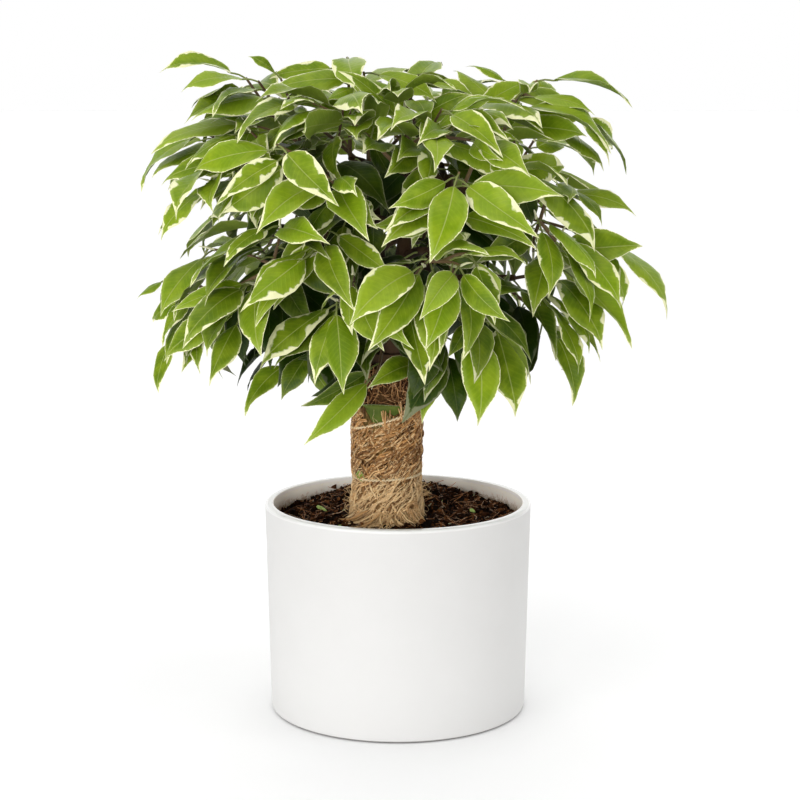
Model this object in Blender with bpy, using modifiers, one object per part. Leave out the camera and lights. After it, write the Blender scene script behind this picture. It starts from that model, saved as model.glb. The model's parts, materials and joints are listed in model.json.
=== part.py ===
"""A potted weeping fig: a small variegated fig whose trunk is wrapped in coir and netting, in a white pot.

Metres, +Z up. The origin is the centre of the pot's underside, and the plant's front faces -Y.
The pot, the soil, the trunk and its wrapping are built one by one. The crown follows rules: limbs and leafy
shoots are aimed evenly over a dome, apart from the shoots whose end leaf marks the outline or the front,
and every leaf is tried at its place on the twig until it hangs clear of all that is already there.
"""

import math
import random
from dataclasses import dataclass, replace

import bmesh
import bpy
from mathutils import Matrix, Vector
from mathutils.bvhtree import BVHTree
from mathutils.geometry import interpolate_bezier

MM = 0.001
UP = Vector((0.0, 0.0, 1.0))
FRONT = Vector((0.0, -1.0, 0.0))
GAP = 0.3 * MM
MERGE = 0.01 * MM
SHARP_ANGLE = math.radians(35)
SEED = 11

# Pot
POT_RADIUS = 72.5 * MM
POT_HEIGHT = 115.0 * MM
POT_WALL = 4.5 * MM
POT_FLOOR = 7.0 * MM
POT_BASE_RADIUS = 70.0 * MM
POT_CORNER = 2.4 * MM
POT_INNER_CORNER = 6.0 * MM
POT_CORNER_POINTS = 3
POT_LIP_POINTS = 5
POT_SIDES = 44

# Soil
SOIL_LEVEL = 105.5 * MM
SOIL_MOUND = 2.5 * MM
SOIL_LUMPS = 1.3 * MM
SOIL_WAVES = (210.0, 190.0, 390.0, 330.0)
SOIL_RINGS = (0.0, 32.0 * MM, 46.0 * MM, 58.0 * MM)
SOIL_SIDES = 32

# Trunk and its wrapping, all on one upright axis
TRUNK_AXIS = Vector((-6.0 * MM, -5.0 * MM, 0.0))
TRUNK_FOOT = 52.0 * MM
TRUNK_MIDDLE = 120.0 * MM
TRUNK_TOP = 198.0 * MM
TRUNK_RADIUS = 14.0 * MM
TRUNK_TOP_RADIUS = 13.0 * MM
TRUNK_SIDES = 12
WRAP_FOOT = 95.0 * MM
WRAP_RADIUS = 19.9 * MM
WRAP_FLARE = 1.2 * MM
WRAP_WAIST = 0.8 * MM
WAIST_HEIGHT = 131.0 * MM
WAIST_LENGTH = 9.0 * MM
WRAP_MARGIN = 2.5 * MM
SLEEVE_INSET = 2.0 * MM
SLEEVE_LUMPS = 0.15 * MM
SLEEVE_TOP = 192.5 * MM
SLEEVE_RAGGED = 1.6 * MM
SLEEVE_DISH = 1.0 * MM
SLEEVE_SIDES = 24
NET_INSET = 0.5 * MM
NET_RELIEF = 0.9 * MM
NET_TOP = 168.0 * MM
NET_SLANT = 4.0 * MM
NET_FRAY = 0.7 * MM
NET_NOTCH = 4.0 * MM
NET_NOTCH_SPREAD = 0.6
NET_COLUMNS = 33
NET_ROWS = 11
NET_STRAND_STEP = 3
NET_INNER_SHARES = (1.0, 0.74, 0.5, 0.25, 0.0)
TIE_RADIUS = 0.6 * MM
TIE_POINTS = 20
TIE_SIDES = 4
UPPER_TIE_HEIGHT = 163.0 * MM
UPPER_TIE_RISE = 6.0 * MM
LOWER_TIE_RISE = 1.0 * MM
TUCKED_LEAF_HEIGHT = 165.5 * MM
TUCKED_LEAF_WIDTH = 13.0 * MM
TUCKED_LEAF_THICKNESS = 0.6 * MM
TUCKED_LEAF_GAP = 1.3 * GAP
TUCKED_LEAF_ANGLES = (math.radians(-140), math.radians(-55))
TUCKED_LEAF_STATIONS = ((0.1, 0.5), (0.26, 0.9), (0.42, 1.0), (0.58, 0.95), (0.74, 0.75), (0.9, 0.35))

# Crown: a flat-topped dome of leaves round the point where the leaders part
CROWN_CENTRE = Vector((-5.0 * MM, 0.0, 250.0 * MM))
CROWN_REACH = 131.0 * MM
CROWN_RISE = 100.0 * MM
CROWN_DROP = 84.0 * MM
CROWN_SQUARENESS = 2.7
CROWN_HEM = 166.0 * MM
GOLDEN_ANGLE = math.radians(137.508)
LEADER_HEADINGS = (math.radians(186), math.radians(-68), math.radians(22), math.radians(104))
LEADER_RADIUS = 6.2 * MM
LEADER_TIP_RADIUS = 2.6 * MM
LEADER_SPREAD = 36.0 * MM
LEADER_TOP = 292.0 * MM
LEADER_STEP = 14.0 * MM
LEADER_ROOT = (5.0 * MM, -9.0 * MM)
LEADER_POINTS = 7
BRANCH_SIDES = 6
LIMBS = 16
LIMB_SHARE = 0.52
LIMB_RADIUS = 2.7 * MM
LIMB_TIP_RADIUS = 1.7 * MM
LIMB_LOWEST = math.radians(112)
LIMB_STARTS = (0.3, 0.42, 0.54, 0.66, 0.78, 0.9)
LIMB_CLIMB = 12.0 * MM
LIMB_POINTS = 4
AIMS = 63
AIM_LOWEST = math.radians(121)
AIM_CLEARANCE = 30.0 * MM
TWIG_RADIUS = 1.5 * MM
TWIG_TIP_RADIUS = 1.15 * MM
FORK_ROOT_RADIUS = 0.75 * MM
STALK_SEAT = 0.9 * MM
TWIG_SPAN = 22.0 * MM
FOOT_SPACING = 4.8 * MM
TWIG_SHORTEST = 12.0 * MM
TWIG_LONGEST = 105.0 * MM
TWIG_PLACES = (0.35, 0.5, 0.65, 0.8, 0.92, 1.0)
TWIG_SIDES = 4
SEAT_PLACES = 8
SEAT_STEPS = 6
FORK_ANGLE = math.radians(45)
BEND_COST = 40.0 * MM
FORK_COST = 25.0 * MM
SIDE_COST = 6.0 * MM
CLEARANCE = 0.6 * MM

# Leaves
LEAF_LENGTH = 46.0 * MM
LEAF_SPREAD = 5.0 * MM
LEAF_WIDTH = 0.48
LEAF_ARCH = math.radians(48)
LEAF_MIDRIB = 1.6 * MM
LEAF_STATIONS = ((0.0, 0.08), (0.17, 0.78), (0.43, 1.0), (0.76, 0.40))
STALK = 9.0 * MM
STALK_RADIUS = 0.8 * MM
STALK_TAPER = 0.6
STALK_LIFT = 0.35
BARE_FOOT = 6.0 * MM
LEAF_SPACING = 9.6 * MM
LEAF_TRIES = 30
LEAVES = 290
END_TRIES = 9
TWIG_STARTS = 24
NUDGE = 1.0 * MM

# The viewer's eye from which the shown leaves below were measured
EYE = Vector((1.1 * MM, -1087.5 * MM, 340.3 * MM))

# Leaves that mark the outline or the front, in millimetres: the blade's foot and tip, across and up as they
# appear in the upright plane through the origin, then the depths at which the foot and the tip really lie
SHOWN_LEAVES = (
    (-88, 346, -126, 348, -10, -20),
    (-65, 346, -79, 355, 0, 0),
    (-10, 345, 21, 332, -20, -30),
    (82, 342, 125, 330, -10, -20),
    (70, 326, 116, 305, -20, -40),
    (71, 292, 107, 254, -50, -70),
    (112, 255, 147, 216, -10, -25),
    (94, 238, 128, 201, -30, -50),
    (86, 205, 96, 168, -20, -30),
    (42, 208, 44, 158, -85, -100),
    (-17, 181, -51, 148, -75, -98),
    (-62, 190, -84, 163, -40, -50),
    (-123, 202, -131, 175, -20, -25),
    (-105, 248, -129, 218, -30, -45),
    (-84, 232, -117, 202, -70, -95),
    (-103, 284, -128, 259, -30, -45),
    (-110, 311, -138, 285, -10, -25),
    (-84, 319, -132, 306, -20, -35),
    (-53, 330, -86, 312, -60, -80),
    (30, 288, 17, 248, -105, -125),
    (-41, 289, -76, 264, -85, -110),
    (-50, 249, -85, 222, -90, -115),
    (-33, 219, -30, 176, -95, -115),
    (8, 242, -26, 215, -105, -128),
    (29, 325, 56, 304, -80, -100),
    (-26, 353, -20, 336, -5, -48),
)

# The same for leaves that end a fork of such a shoot
FORKED_LEAVES = (
    (-82, 343, -115, 338, -30, -40),
    (-30, 346, -46, 339, -30, -40),
    (18, 340, 44, 330, -20, -25),
    (86, 335, 52, 340, 0, -10),
    (74, 320, 111, 296, 10, 0),
    (93, 256, 121, 223, -40, -60),
    (-87, 213, -103, 180, -60, -75),
    (-127, 235, -141, 226, 0, -5),
    (-59, 305, -32, 278, -90, -110),
    (52, 304, 64, 273, -75, -95),
    (77, 263, 82, 228, -65, -80),
    (30, 241, 12, 217, -110, -130),
    (42, 245, 53, 214, -95, -110),
    (6, 220, 15, 181, -90, -105),
    (-70, 264, -94, 246, -75, -95),
    (27, 195, 33, 160, -60, -70),
    (53, 210, 65, 163, -70, -85),
    (9, 191, -16, 179, -60, -80),
    (-29, 232, -29, 206, -90, -105),
    (94, 284, 110, 266, -20, -30),
    (-48, 197, -64, 172, -50, -60),
    (-112, 225, -128, 201, -40, -50),
    (-71, 333, -110, 323, -30, -45),
    (-86, 314, -114, 297, -40, -55),
    (56, 342, 36, 350, 0, 0),
)


def clear_scene():
    for obj in list(bpy.data.objects):
        bpy.data.objects.remove(obj, do_unlink=True)


def collection(name):
    group = bpy.data.collections.new(name)
    bpy.context.scene.collection.children.link(group)
    return group


def finish(name, colour, roughness):
    """A plain material of one colour."""
    material = bpy.data.materials.new(name)
    material.use_nodes = True
    shader = material.node_tree.nodes["Principled BSDF"]
    shader.inputs["Base Color"].default_value = (*colour, 1.0)
    shader.inputs["Roughness"].default_value = roughness
    shader.inputs["Metallic"].default_value = 0.0
    return material


def add_object(name, data, group, material=None):
    obj = bpy.data.objects.new(name, data)
    group.objects.link(obj)
    if material:
        data.materials.append(material)
    return obj


def mesh_object(name, points, faces, group, material):
    """An object from corner points and faces, with its faces pointing out."""
    mesh = bpy.data.meshes.new(name)
    mesh.from_pydata(points, [], faces)
    shape = bmesh.new()
    shape.from_mesh(mesh)
    bmesh.ops.recalc_face_normals(shape, faces=shape.faces)
    shape.to_mesh(mesh)
    shape.free()
    return add_object(name, mesh, group, material)


def bake(obj, name=None, weld=True):
    """Replace an object by a plain mesh of what its modifiers or its curve make."""
    bpy.context.view_layer.update()
    evaluated = obj.evaluated_get(bpy.context.evaluated_depsgraph_get())
    mesh = bpy.data.meshes.new_from_object(evaluated)
    mesh.transform(obj.matrix_world)
    if weld:
        shape = bmesh.new()
        shape.from_mesh(mesh)
        bmesh.ops.remove_doubles(shape, verts=shape.verts, dist=MERGE)
        shape.to_mesh(mesh)
        shape.free()
    name = name or obj.name
    group = obj.users_collection[0]
    bpy.data.objects.remove(obj, do_unlink=True)
    return add_object(name, mesh, group)


def turned(name, profile, steps, group, material, axis=Vector()):
    """A solid of revolution: a profile at +X that runs down its outer side."""
    mesh = bpy.data.meshes.new(name)
    edges = [(i, i + 1) for i in range(len(profile) - 1)]
    mesh.from_pydata([(radius, 0.0, height) for radius, height in profile], edges, [])
    obj = add_object(name, mesh, group, material)
    obj.location = axis
    screw = obj.modifiers.new("Turn", "SCREW")
    screw.steps = steps
    screw.render_steps = steps
    screw.use_merge_vertices = True
    screw.merge_threshold = MERGE
    return obj


def tube(name, points, radii, sides, group, closed=False):
    """A round bar through the points, as a mesh without a material."""
    curve = bpy.data.curves.new(name, "CURVE")
    curve.dimensions = "3D"
    curve.bevel_depth = 1.0
    curve.bevel_resolution = (sides - 4) // 2
    curve.use_fill_caps = not closed
    spline = curve.splines.new("POLY")
    spline.points.add(len(points) - 1)
    for knot, point, radius in zip(spline.points, points, radii):
        knot.co = (*point, 1.0)
        knot.radius = radius
    spline.use_cyclic_u = closed
    return bake(add_object(name, curve, group))


def boolean(obj, operation, solver, cutter=None, group=None):
    change = obj.modifiers.new(operation.title(), "BOOLEAN")
    change.operation = operation
    change.solver = solver
    if group:
        change.operand_type = "COLLECTION"
        change.collection = group
    else:
        change.object = cutter


def fuse(obj, pieces, solver):
    """Join a collection of pieces to the object by one union, and remove the pieces."""
    name = obj.name
    boolean(obj, "UNION", solver, group=pieces)
    joined = bake(obj, name, weld=False)
    for piece in list(pieces.objects):
        bpy.data.objects.remove(piece, do_unlink=True)
    bpy.data.collections.remove(pieces)
    return joined


def shade(obj):
    """Smooth shading that keeps the sharper edges."""
    obj.data.shade_smooth()
    obj.data.set_sharp_from_angle(angle=SHARP_ANGLE)


def with_material(obj, material):
    obj.data.materials.clear()
    obj.data.materials.append(material)
    return obj


def around(axis, radius, angle, height):
    return Vector((axis.x + radius * math.cos(angle), axis.y + radius * math.sin(angle), height))


def arc(centre, radius, start, end, count):
    """Points of a round corner in a turned profile, as (radius, height)."""
    steps = [start + (end - start) * i / (count - 1) for i in range(count)]
    return [(centre[0] + radius * math.cos(a), centre[1] + radius * math.sin(a)) for a in steps]


# Pot

def pot_inner_radius(height):
    """The pot's wall leans out a little from its base to its rim."""
    lean = (POT_RADIUS - POT_BASE_RADIUS) * height / POT_HEIGHT
    return POT_BASE_RADIUS + lean - POT_WALL


def make_pot(group):
    lip = POT_WALL / 2
    floor_edge = pot_inner_radius(POT_FLOOR + POT_INNER_CORNER) - POT_INNER_CORNER
    profile = [(0.0, POT_FLOOR)]
    down = -math.pi / 2
    profile += arc((floor_edge, POT_FLOOR + POT_INNER_CORNER), POT_INNER_CORNER, down, 0.0, POT_CORNER_POINTS)
    profile += arc((POT_RADIUS - lip, POT_HEIGHT - lip), lip, math.pi, 0.0, POT_LIP_POINTS)
    profile += arc((POT_BASE_RADIUS - POT_CORNER, POT_CORNER), POT_CORNER, 0.0, down, POT_CORNER_POINTS)
    profile.append((0.0, 0.0))
    white = finish("white_ceramic", (0.83, 0.83, 0.82), 0.45)
    shade(bake(turned("pot", profile, POT_SIDES, group, white)))


# Soil

def soil_height(x, y):
    """The soil heaps up a little round the trunk, and is lumpy all over."""
    away = math.hypot(x - TRUNK_AXIS.x, y - TRUNK_AXIS.y) / POT_RADIUS
    wide_x, wide_y, fine_x, fine_y = SOIL_WAVES
    wide = math.sin(x * wide_x + 1.3) * math.cos(y * wide_y - 0.4)
    fine = math.sin(x * fine_x - y * fine_y)
    return SOIL_LEVEL + SOIL_MOUND * (1.0 - away) + SOIL_LUMPS * (wide + 0.5 * fine)


def make_soil(group, guides):
    rim = pot_inner_radius(SOIL_LEVEL) - GAP
    foot = pot_inner_radius(POT_FLOOR + POT_INNER_CORNER) - GAP
    floor_edge = foot - POT_INNER_CORNER
    profile = [(radius, SOIL_LEVEL) for radius in SOIL_RINGS]
    profile += [(rim, SOIL_LEVEL), (foot, POT_FLOOR + POT_INNER_CORNER + GAP), (floor_edge, POT_FLOOR + GAP)]
    profile.append((0.0, POT_FLOOR + GAP))
    soil = bake(turned("soil", profile, SOIL_SIDES, group, None))
    for vertex in soil.data.vertices:
        if vertex.co.z > SOIL_LEVEL - GAP:
            vertex.co.z = soil_height(vertex.co.x, vertex.co.y)
    seat = WRAP_RADIUS + WRAP_FLARE + NET_RELIEF + GAP
    bore = TRUNK_RADIUS + GAP
    hole = [(0.0, POT_HEIGHT), (seat, POT_HEIGHT), (seat, WRAP_FOOT), (bore, WRAP_FOOT)]
    hole += [(bore, TRUNK_FOOT - GAP), (0.0, TRUNK_FOOT - GAP)]
    cutter = turned("stem_hole", hole, SLEEVE_SIDES, guides, None, TRUNK_AXIS)
    cutter.hide_render = True
    cutter.display_type = "WIRE"
    boolean(soil, "DIFFERENCE", "EXACT", cutter)
    soil = bake(soil)
    bpy.data.objects.remove(cutter, do_unlink=True)
    with_material(soil, finish("potting_soil", (0.035, 0.02, 0.012), 0.95))


# The wrapping round the trunk

def wrap_radius(height):
    """The wrapping is drawn in at its waist by the lower tie, and flares where it enters the soil."""
    flare = WRAP_FLARE * max(0.0, (WAIST_HEIGHT - height) / (WAIST_HEIGHT - WRAP_FOOT)) ** 1.5
    waist = WRAP_WAIST * math.exp(-((height - WAIST_HEIGHT) / WAIST_LENGTH) ** 2)
    return WRAP_RADIUS + flare - waist


def ring_wall(name, rings, group, material):
    """A closed wall through rings that run up its outside and down its inside."""
    count = len(rings[0])
    points = [point for ring in rings for point in ring]
    faces = []
    for i in range(len(rings)):
        upper = (i + 1) % len(rings)
        for j in range(count):
            k = (j + 1) % count
            faces.append((i * count + j, i * count + k, upper * count + k, upper * count + j))
    return mesh_object(name, points, faces, group, material)


def make_sleeve(group):
    """Coconut fibre round the trunk, a little lumpy, with a ragged top."""
    angles = [math.tau * j / SLEEVE_SIDES for j in range(SLEEVE_SIDES)]
    heights = [WRAP_FOOT + GAP, WAIST_HEIGHT, WAIST_HEIGHT + 2 * WAIST_LENGTH, NET_TOP, SLEEVE_TOP]
    rings = []
    for height in heights:
        top = height == SLEEVE_TOP
        ring = []
        for j, angle in enumerate(angles):
            lump = SLEEVE_LUMPS * math.sin(5 * angle + height * 300)
            ragged = SLEEVE_RAGGED * math.sin(7 * angle) * math.cos(3 * angle) if top else 0.0
            ring.append(around(TRUNK_AXIS, wrap_radius(height) - SLEEVE_INSET + lump, angle, height + ragged))
        rings.append(ring)
    bore = (TRUNK_RADIUS + GAP) / math.cos(math.pi / SLEEVE_SIDES)
    rings.append([around(TRUNK_AXIS, bore, angle, SLEEVE_TOP - SLEEVE_DISH) for angle in angles])
    rings.append([around(TRUNK_AXIS, bore, angle, WRAP_FOOT + GAP) for angle in angles])
    shade(ring_wall("coir_sleeve", rings, group, finish("coir", (0.16, 0.085, 0.04), 0.95)))


def net_top(angle):
    """The netting's ragged edge is lower on the left, and dips where the tucked leaf shows."""
    front = math.remainder(angle + math.pi / 2, math.tau)
    dip = NET_NOTCH * math.exp(-(front / NET_NOTCH_SPREAD) ** 2)
    return NET_TOP + NET_SLANT * math.cos(angle) + NET_FRAY * math.sin(9 * angle) - dip


def make_net(group):
    """Netting whose strands stand out in slanting rows and rise to the right."""
    angles = [math.tau * j / NET_COLUMNS for j in range(NET_COLUMNS)]
    rings = []
    for i in range(NET_ROWS + 1):
        ring = []
        for j, angle in enumerate(angles):
            foot = WRAP_FOOT + GAP
            height = foot + (net_top(angle) - foot) * i / NET_ROWS
            strand = NET_RELIEF if (j - i) % NET_STRAND_STEP == 0 else 0.0
            ring.append(around(TRUNK_AXIS, wrap_radius(height) + strand, angle, height))
        rings.append(ring)
    for share in NET_INNER_SHARES:
        ring = []
        for angle in angles:
            foot = WRAP_FOOT + GAP
            height = foot + (net_top(angle) - foot) * share
            ring.append(around(TRUNK_AXIS, wrap_radius(height) - NET_INSET, angle, height))
        rings.append(ring)
    ring_wall("netting", rings, group, finish("straw_netting", (0.36, 0.23, 0.11), 0.9))


def make_tie(name, height, rise, group, twine):
    """A twine ring drawn tight round the netting, a little askew."""
    points = []
    for j in range(TIE_POINTS):
        angle = math.tau * j / TIE_POINTS
        level = height + rise * math.cos(angle)
        widest = max(wrap_radius(level - TIE_RADIUS), wrap_radius(level + TIE_RADIUS))
        radius = widest + NET_RELIEF + GAP + TIE_RADIUS
        points.append(around(TRUNK_AXIS, radius / math.cos(math.pi / TIE_POINTS), angle, level))
    tie = tube(name, points, [TIE_RADIUS] * TIE_POINTS, TIE_SIDES, group, closed=True)
    with_material(tie, twine)


def make_tucked_leaf(group, green):
    """A leaf caught under the netting's top edge, bent round the sleeve."""
    start, end = TUCKED_LEAF_ANGLES
    inner = WRAP_RADIUS - SLEEVE_INSET + SLEEVE_LUMPS + TUCKED_LEAF_GAP
    outer = inner + TUCKED_LEAF_THICKNESS
    points = [around(TRUNK_AXIS, (inner + outer) / 2, start, TUCKED_LEAF_HEIGHT)]
    for share, width in TUCKED_LEAF_STATIONS:
        angle = start + (end - start) * share
        half = width * TUCKED_LEAF_WIDTH / 2
        for radius, height in ((inner, -half), (inner, half), (outer, half), (outer, -half)):
            points.append(around(TRUNK_AXIS, radius, angle, TUCKED_LEAF_HEIGHT + height))
    points.append(around(TRUNK_AXIS, (inner + outer) / 2, end, TUCKED_LEAF_HEIGHT))
    last = len(points) - 1
    faces = [(0, 1 + k, 1 + (k + 1) % 4) for k in range(4)]
    for i in range(len(TUCKED_LEAF_STATIONS) - 1):
        for k in range(4):
            a, b = 1 + 4 * i + k, 1 + 4 * i + (k + 1) % 4
            faces += [(a, a + 4, b + 4), (a, b + 4, b)]
    faces += [(last, last - 4 + (k + 1) % 4, last - 4 + k) for k in range(4)]
    mesh_object("tucked_leaf", points, faces, group, green)


# Crown: places and directions

@dataclass
class Leaf:
    """A leaf: the root of its stalk, the line of its blade from foot to tip, and its upper side."""

    root: Vector
    heading: Vector
    normal: Vector
    length: float
    arch: float
    stalk: float = STALK

    def foot(self):
        """The blade's foot, at the end of a stalk that lifts it off its line."""
        rise = (self.heading + STALK_LIFT * self.normal).normalized()
        return self.root + rise * self.stalk

    def spine(self, share):
        """A point of the arched midrib, and the upper side there."""
        half = self.arch / 2
        turn = self.arch * share - half
        along = (math.sin(turn) + math.sin(half)) / (2 * math.sin(half))
        lift = (math.cos(turn) - math.cos(half)) / (2 * math.sin(half))
        point = self.foot() + self.heading * (along * self.length) + self.normal * (lift * self.length)
        return point, self.normal * math.cos(turn) + self.heading * math.sin(turn)

    def tip(self):
        return self.foot() + self.heading * self.length


@dataclass
class Twig:
    """A bent twig: its points, its radii, and the shoot that it belongs to."""

    points: list
    radii: list
    shoot: int

    def at(self, share):
        """The point, the direction and the radius at a share of the twig's length."""
        place = share * (len(self.points) - 1)
        i = min(int(place), len(self.points) - 2)
        rest = place - i
        line = self.points[i + 1] - self.points[i]
        radius = self.radii[i] + (self.radii[i + 1] - self.radii[i]) * rest
        return self.points[i] + line * rest, line.normalized(), radius

    def length(self):
        return sum((b - a).length for a, b in zip(self.points, self.points[1:]))


def dome(direction):
    """The point of the crown's surface that lies in a direction from its centre."""
    height = CROWN_RISE if direction.z > 0 else CROWN_DROP
    level = sum(abs(value / size) ** CROWN_SQUARENESS for value, size in
                zip(direction, (CROWN_REACH, CROWN_REACH, height)))
    return CROWN_CENTRE + direction * level ** (-1 / CROWN_SQUARENESS)


def inside_dome(point, slack=1.03):
    offset = point - CROWN_CENTRE
    return offset.length <= (dome(offset.normalized()) - CROWN_CENTRE).length * slack


def even_directions(count, lowest):
    """Directions spread evenly from straight up down to the lowest polar angle."""
    for i in range(count):
        rise = 1.0 - (1.0 - math.cos(lowest)) * (i + 0.5) / count
        flat = math.sqrt(1.0 - rise * rise)
        angle = i * GOLDEN_ANGLE
        yield Vector((flat * math.cos(angle), flat * math.sin(angle), rise))


def seen(across, height, depth):
    """The point at a depth that appears, from the eye, at a place of the upright plane through the origin."""
    target = Vector((across * MM, 0.0, height * MM))
    return EYE + (target - EYE) * ((depth * MM - EYE.y) / -EYE.y)


def outward(point):
    """Away from the middle of the crown, mostly level."""
    offset = point - CROWN_CENTRE
    return Vector((offset.x, offset.y, 0.35 * offset.z)).normalized()


def droop_at(height):
    """Leaves lie nearly level at the top of the crown and hang at its hem."""
    share = (height - CROWN_HEM) / (CROWN_CENTRE.z + CROWN_RISE - CROWN_HEM)
    return 1.35 - 1.15 * min(1.0, max(0.0, share))


def upper_side(point, heading, roll=0.0, frontal=0.2):
    """A leaf's upper side faces up and outward, square to its heading."""
    facing = 0.7 * UP + 0.75 * outward(point) + frontal * FRONT
    normal = (facing - heading * facing.dot(heading)).normalized()
    return Matrix.Rotation(roll, 3, heading) @ normal


def leaf_to(foot, tip, draw, frontal=0.0):
    """A leaf whose blade runs from foot to tip."""
    line = tip - foot
    heading = line.normalized()
    normal = upper_side(foot, heading, draw.uniform(-0.15, 0.15), frontal)
    rise = (heading + STALK_LIFT * normal).normalized()
    stalk = min(STALK, 0.3 * line.length)
    return Leaf(foot - rise * stalk, heading, normal, line.length, LEAF_ARCH * draw.uniform(0.7, 1.2), stalk)


# Crown: keeping things clear of one another

def leaf_mesh(leaf, grow=0.0):
    """Three-cornered rings along stalk and blade, closed at the root and run out to the tip."""
    side = leaf.heading.cross(leaf.normal)
    points = []
    for share, width in LEAF_STATIONS:
        centre, normal = leaf.spine(share)
        half = max(width * LEAF_WIDTH * leaf.length / 2, STALK_RADIUS) + grow
        ridge = LEAF_MIDRIB * (1.0 - 0.45 * share) + grow
        points += [centre - side * half - normal * grow, centre + normal * ridge]
        points.append(centre + side * half - normal * grow)
    middle = sum(points[:3], Vector()) / 3
    points = [leaf.root + (point - middle) * STALK_TAPER for point in points[:3]] + points
    points.append(leaf.tip() + leaf.heading * grow)
    faces = [(0, 1, 2), (0, 3, 4, 1), (1, 4, 5, 2), (2, 5, 3, 0)]
    for ring in range(1, len(LEAF_STATIONS)):
        a = 3 * ring
        faces += [(a, a + 3, a + 4), (a, a + 4, a + 1), (a + 1, a + 4, a + 5), (a + 1, a + 5, a + 2)]
        faces += [(a + 2, a + 5, a + 3), (a + 2, a + 3, a)]
    last = len(points) - 1
    faces += [(last - 3, last, last - 2), (last - 2, last, last - 1), (last - 1, last, last - 3)]
    return points, faces


def blade_only(points, faces):
    """The part of a leaf past its stalk, which is all that may not touch its own twig."""
    return points, [face for face in faces if min(face) >= 3]


def bar_mesh(points, radii, grow=0.0, sides=6, skip=0):
    """A bar through the points, as wide as the flats of the real one need."""
    rings = []
    for i, point in enumerate(points):
        ahead = points[min(i + 1, len(points) - 1)] - points[max(i - 1, 0)]
        along = ahead.normalized()
        side = along.orthogonal().normalized()
        other = along.cross(side)
        radius = (radii[i] + grow) / math.cos(math.pi / sides)
        for j in range(sides):
            angle = math.tau * j / sides
            rings.append(point + side * (radius * math.cos(angle)) + other * (radius * math.sin(angle)))
    faces = []
    for i in range(skip, len(points) - 1):
        for j in range(sides):
            k = (j + 1) % sides
            faces.append((i * sides + j, i * sides + k, (i + 1) * sides + k))
            faces.append((i * sides + j, (i + 1) * sides + k, (i + 1) * sides + j))
    return rings, faces


class Taken:
    """The room that is already taken, each piece with a ball round it and its owner."""

    def __init__(self):
        self.pieces = []

    @staticmethod
    def ball(points):
        centre = sum(points, Vector()) / len(points)
        return centre, max((point - centre).length for point in points)

    def add(self, points, faces, owner):
        self.pieces.append((BVHTree.FromPolygons(points, faces), *self.ball(points), owner))

    def free(self, points, faces, owner=None):
        """True if the shape meets nothing, its owner's own piece aside."""
        centre, radius = self.ball(points)
        tree = BVHTree.FromPolygons(points, faces)
        for other, middle, reach, holder in self.pieces:
            if owner is not None and holder == owner:
                continue
            if (middle - centre).length < radius + reach and tree.overlap(other):
                return False
        return True


# Crown: limbs, twigs and leaves

def bent(start, start_pull, end_pull, end, count):
    return [Vector(point) for point in interpolate_bezier(start, start_pull, end_pull, end, count)]


def tapered(first, last, count):
    return [first + (last - first) * i / (count - 1) for i in range(count)]


def plan_leaders():
    """The leaders part at the trunk's top and lean outward."""
    leaders = []
    for i, heading in enumerate(LEADER_HEADINGS):
        flat = Vector((math.cos(heading), math.sin(heading), 0.0))
        out, sunk = LEADER_ROOT
        start = TRUNK_AXIS + flat * out + UP * (TRUNK_TOP + sunk)
        end = TRUNK_AXIS + flat * LEADER_SPREAD + UP * (LEADER_TOP + (i % 2) * LEADER_STEP)
        rise = end.z - start.z
        points = bent(start, start + UP * (rise * 0.3), end - UP * (rise * 0.35), end, LEADER_POINTS)
        leaders.append(Twig(points, tapered(LEADER_RADIUS, LEADER_TIP_RADIUS, LEADER_POINTS), i))
    return leaders


def plan_limbs(leaders):
    """Limbs leave the nearest leader and reach halfway to the crown's surface."""
    limbs = []
    for direction in even_directions(LIMBS, LIMB_LOWEST):
        end = CROWN_CENTRE + (dome(direction) - CROWN_CENTRE) * LIMB_SHARE
        choices = []
        for leader in leaders:
            for share in LIMB_STARTS:
                start, along, radius = leader.at(share)
                line = end - start
                climb = max(0.0, start.z - end.z + LIMB_CLIMB)
                choices.append((line.length + climb / 2, share, start, along, radius))
        _, _, start, along, radius = min(choices, key=lambda choice: choice[:2])
        line = end - start
        pull = start + (along * 0.5 + line.normalized()).normalized() * (line.length * 0.4)
        points = bent(start, pull, end - line.normalized() * (line.length * 0.3), end, LIMB_POINTS)
        radii = tapered(min(LIMB_RADIUS, radius * 0.9), LIMB_TIP_RADIUS, LIMB_POINTS)
        limbs.append(Twig(points, radii, len(limbs)))
    return limbs


def starts_on(carriers, goal, sunk):
    """Places on the carrying bars from which a twig can leave for its goal, the best first."""
    choices = []
    for number, carrier in enumerate(carriers):
        for share in TWIG_PLACES:
            start, along, radius = carrier.at(share)
            line = goal - start
            if not TWIG_SHORTEST < line.length < TWIG_LONGEST:
                continue
            angle = along.angle(line)
            if share == 1.0 and not sunk:
                cost = BEND_COST * angle
            else:
                cost = FORK_COST * abs(angle - FORK_ANGLE) + SIDE_COST
            choices.append((line.length + cost, number, share))
    return sorted(choices)


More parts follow.
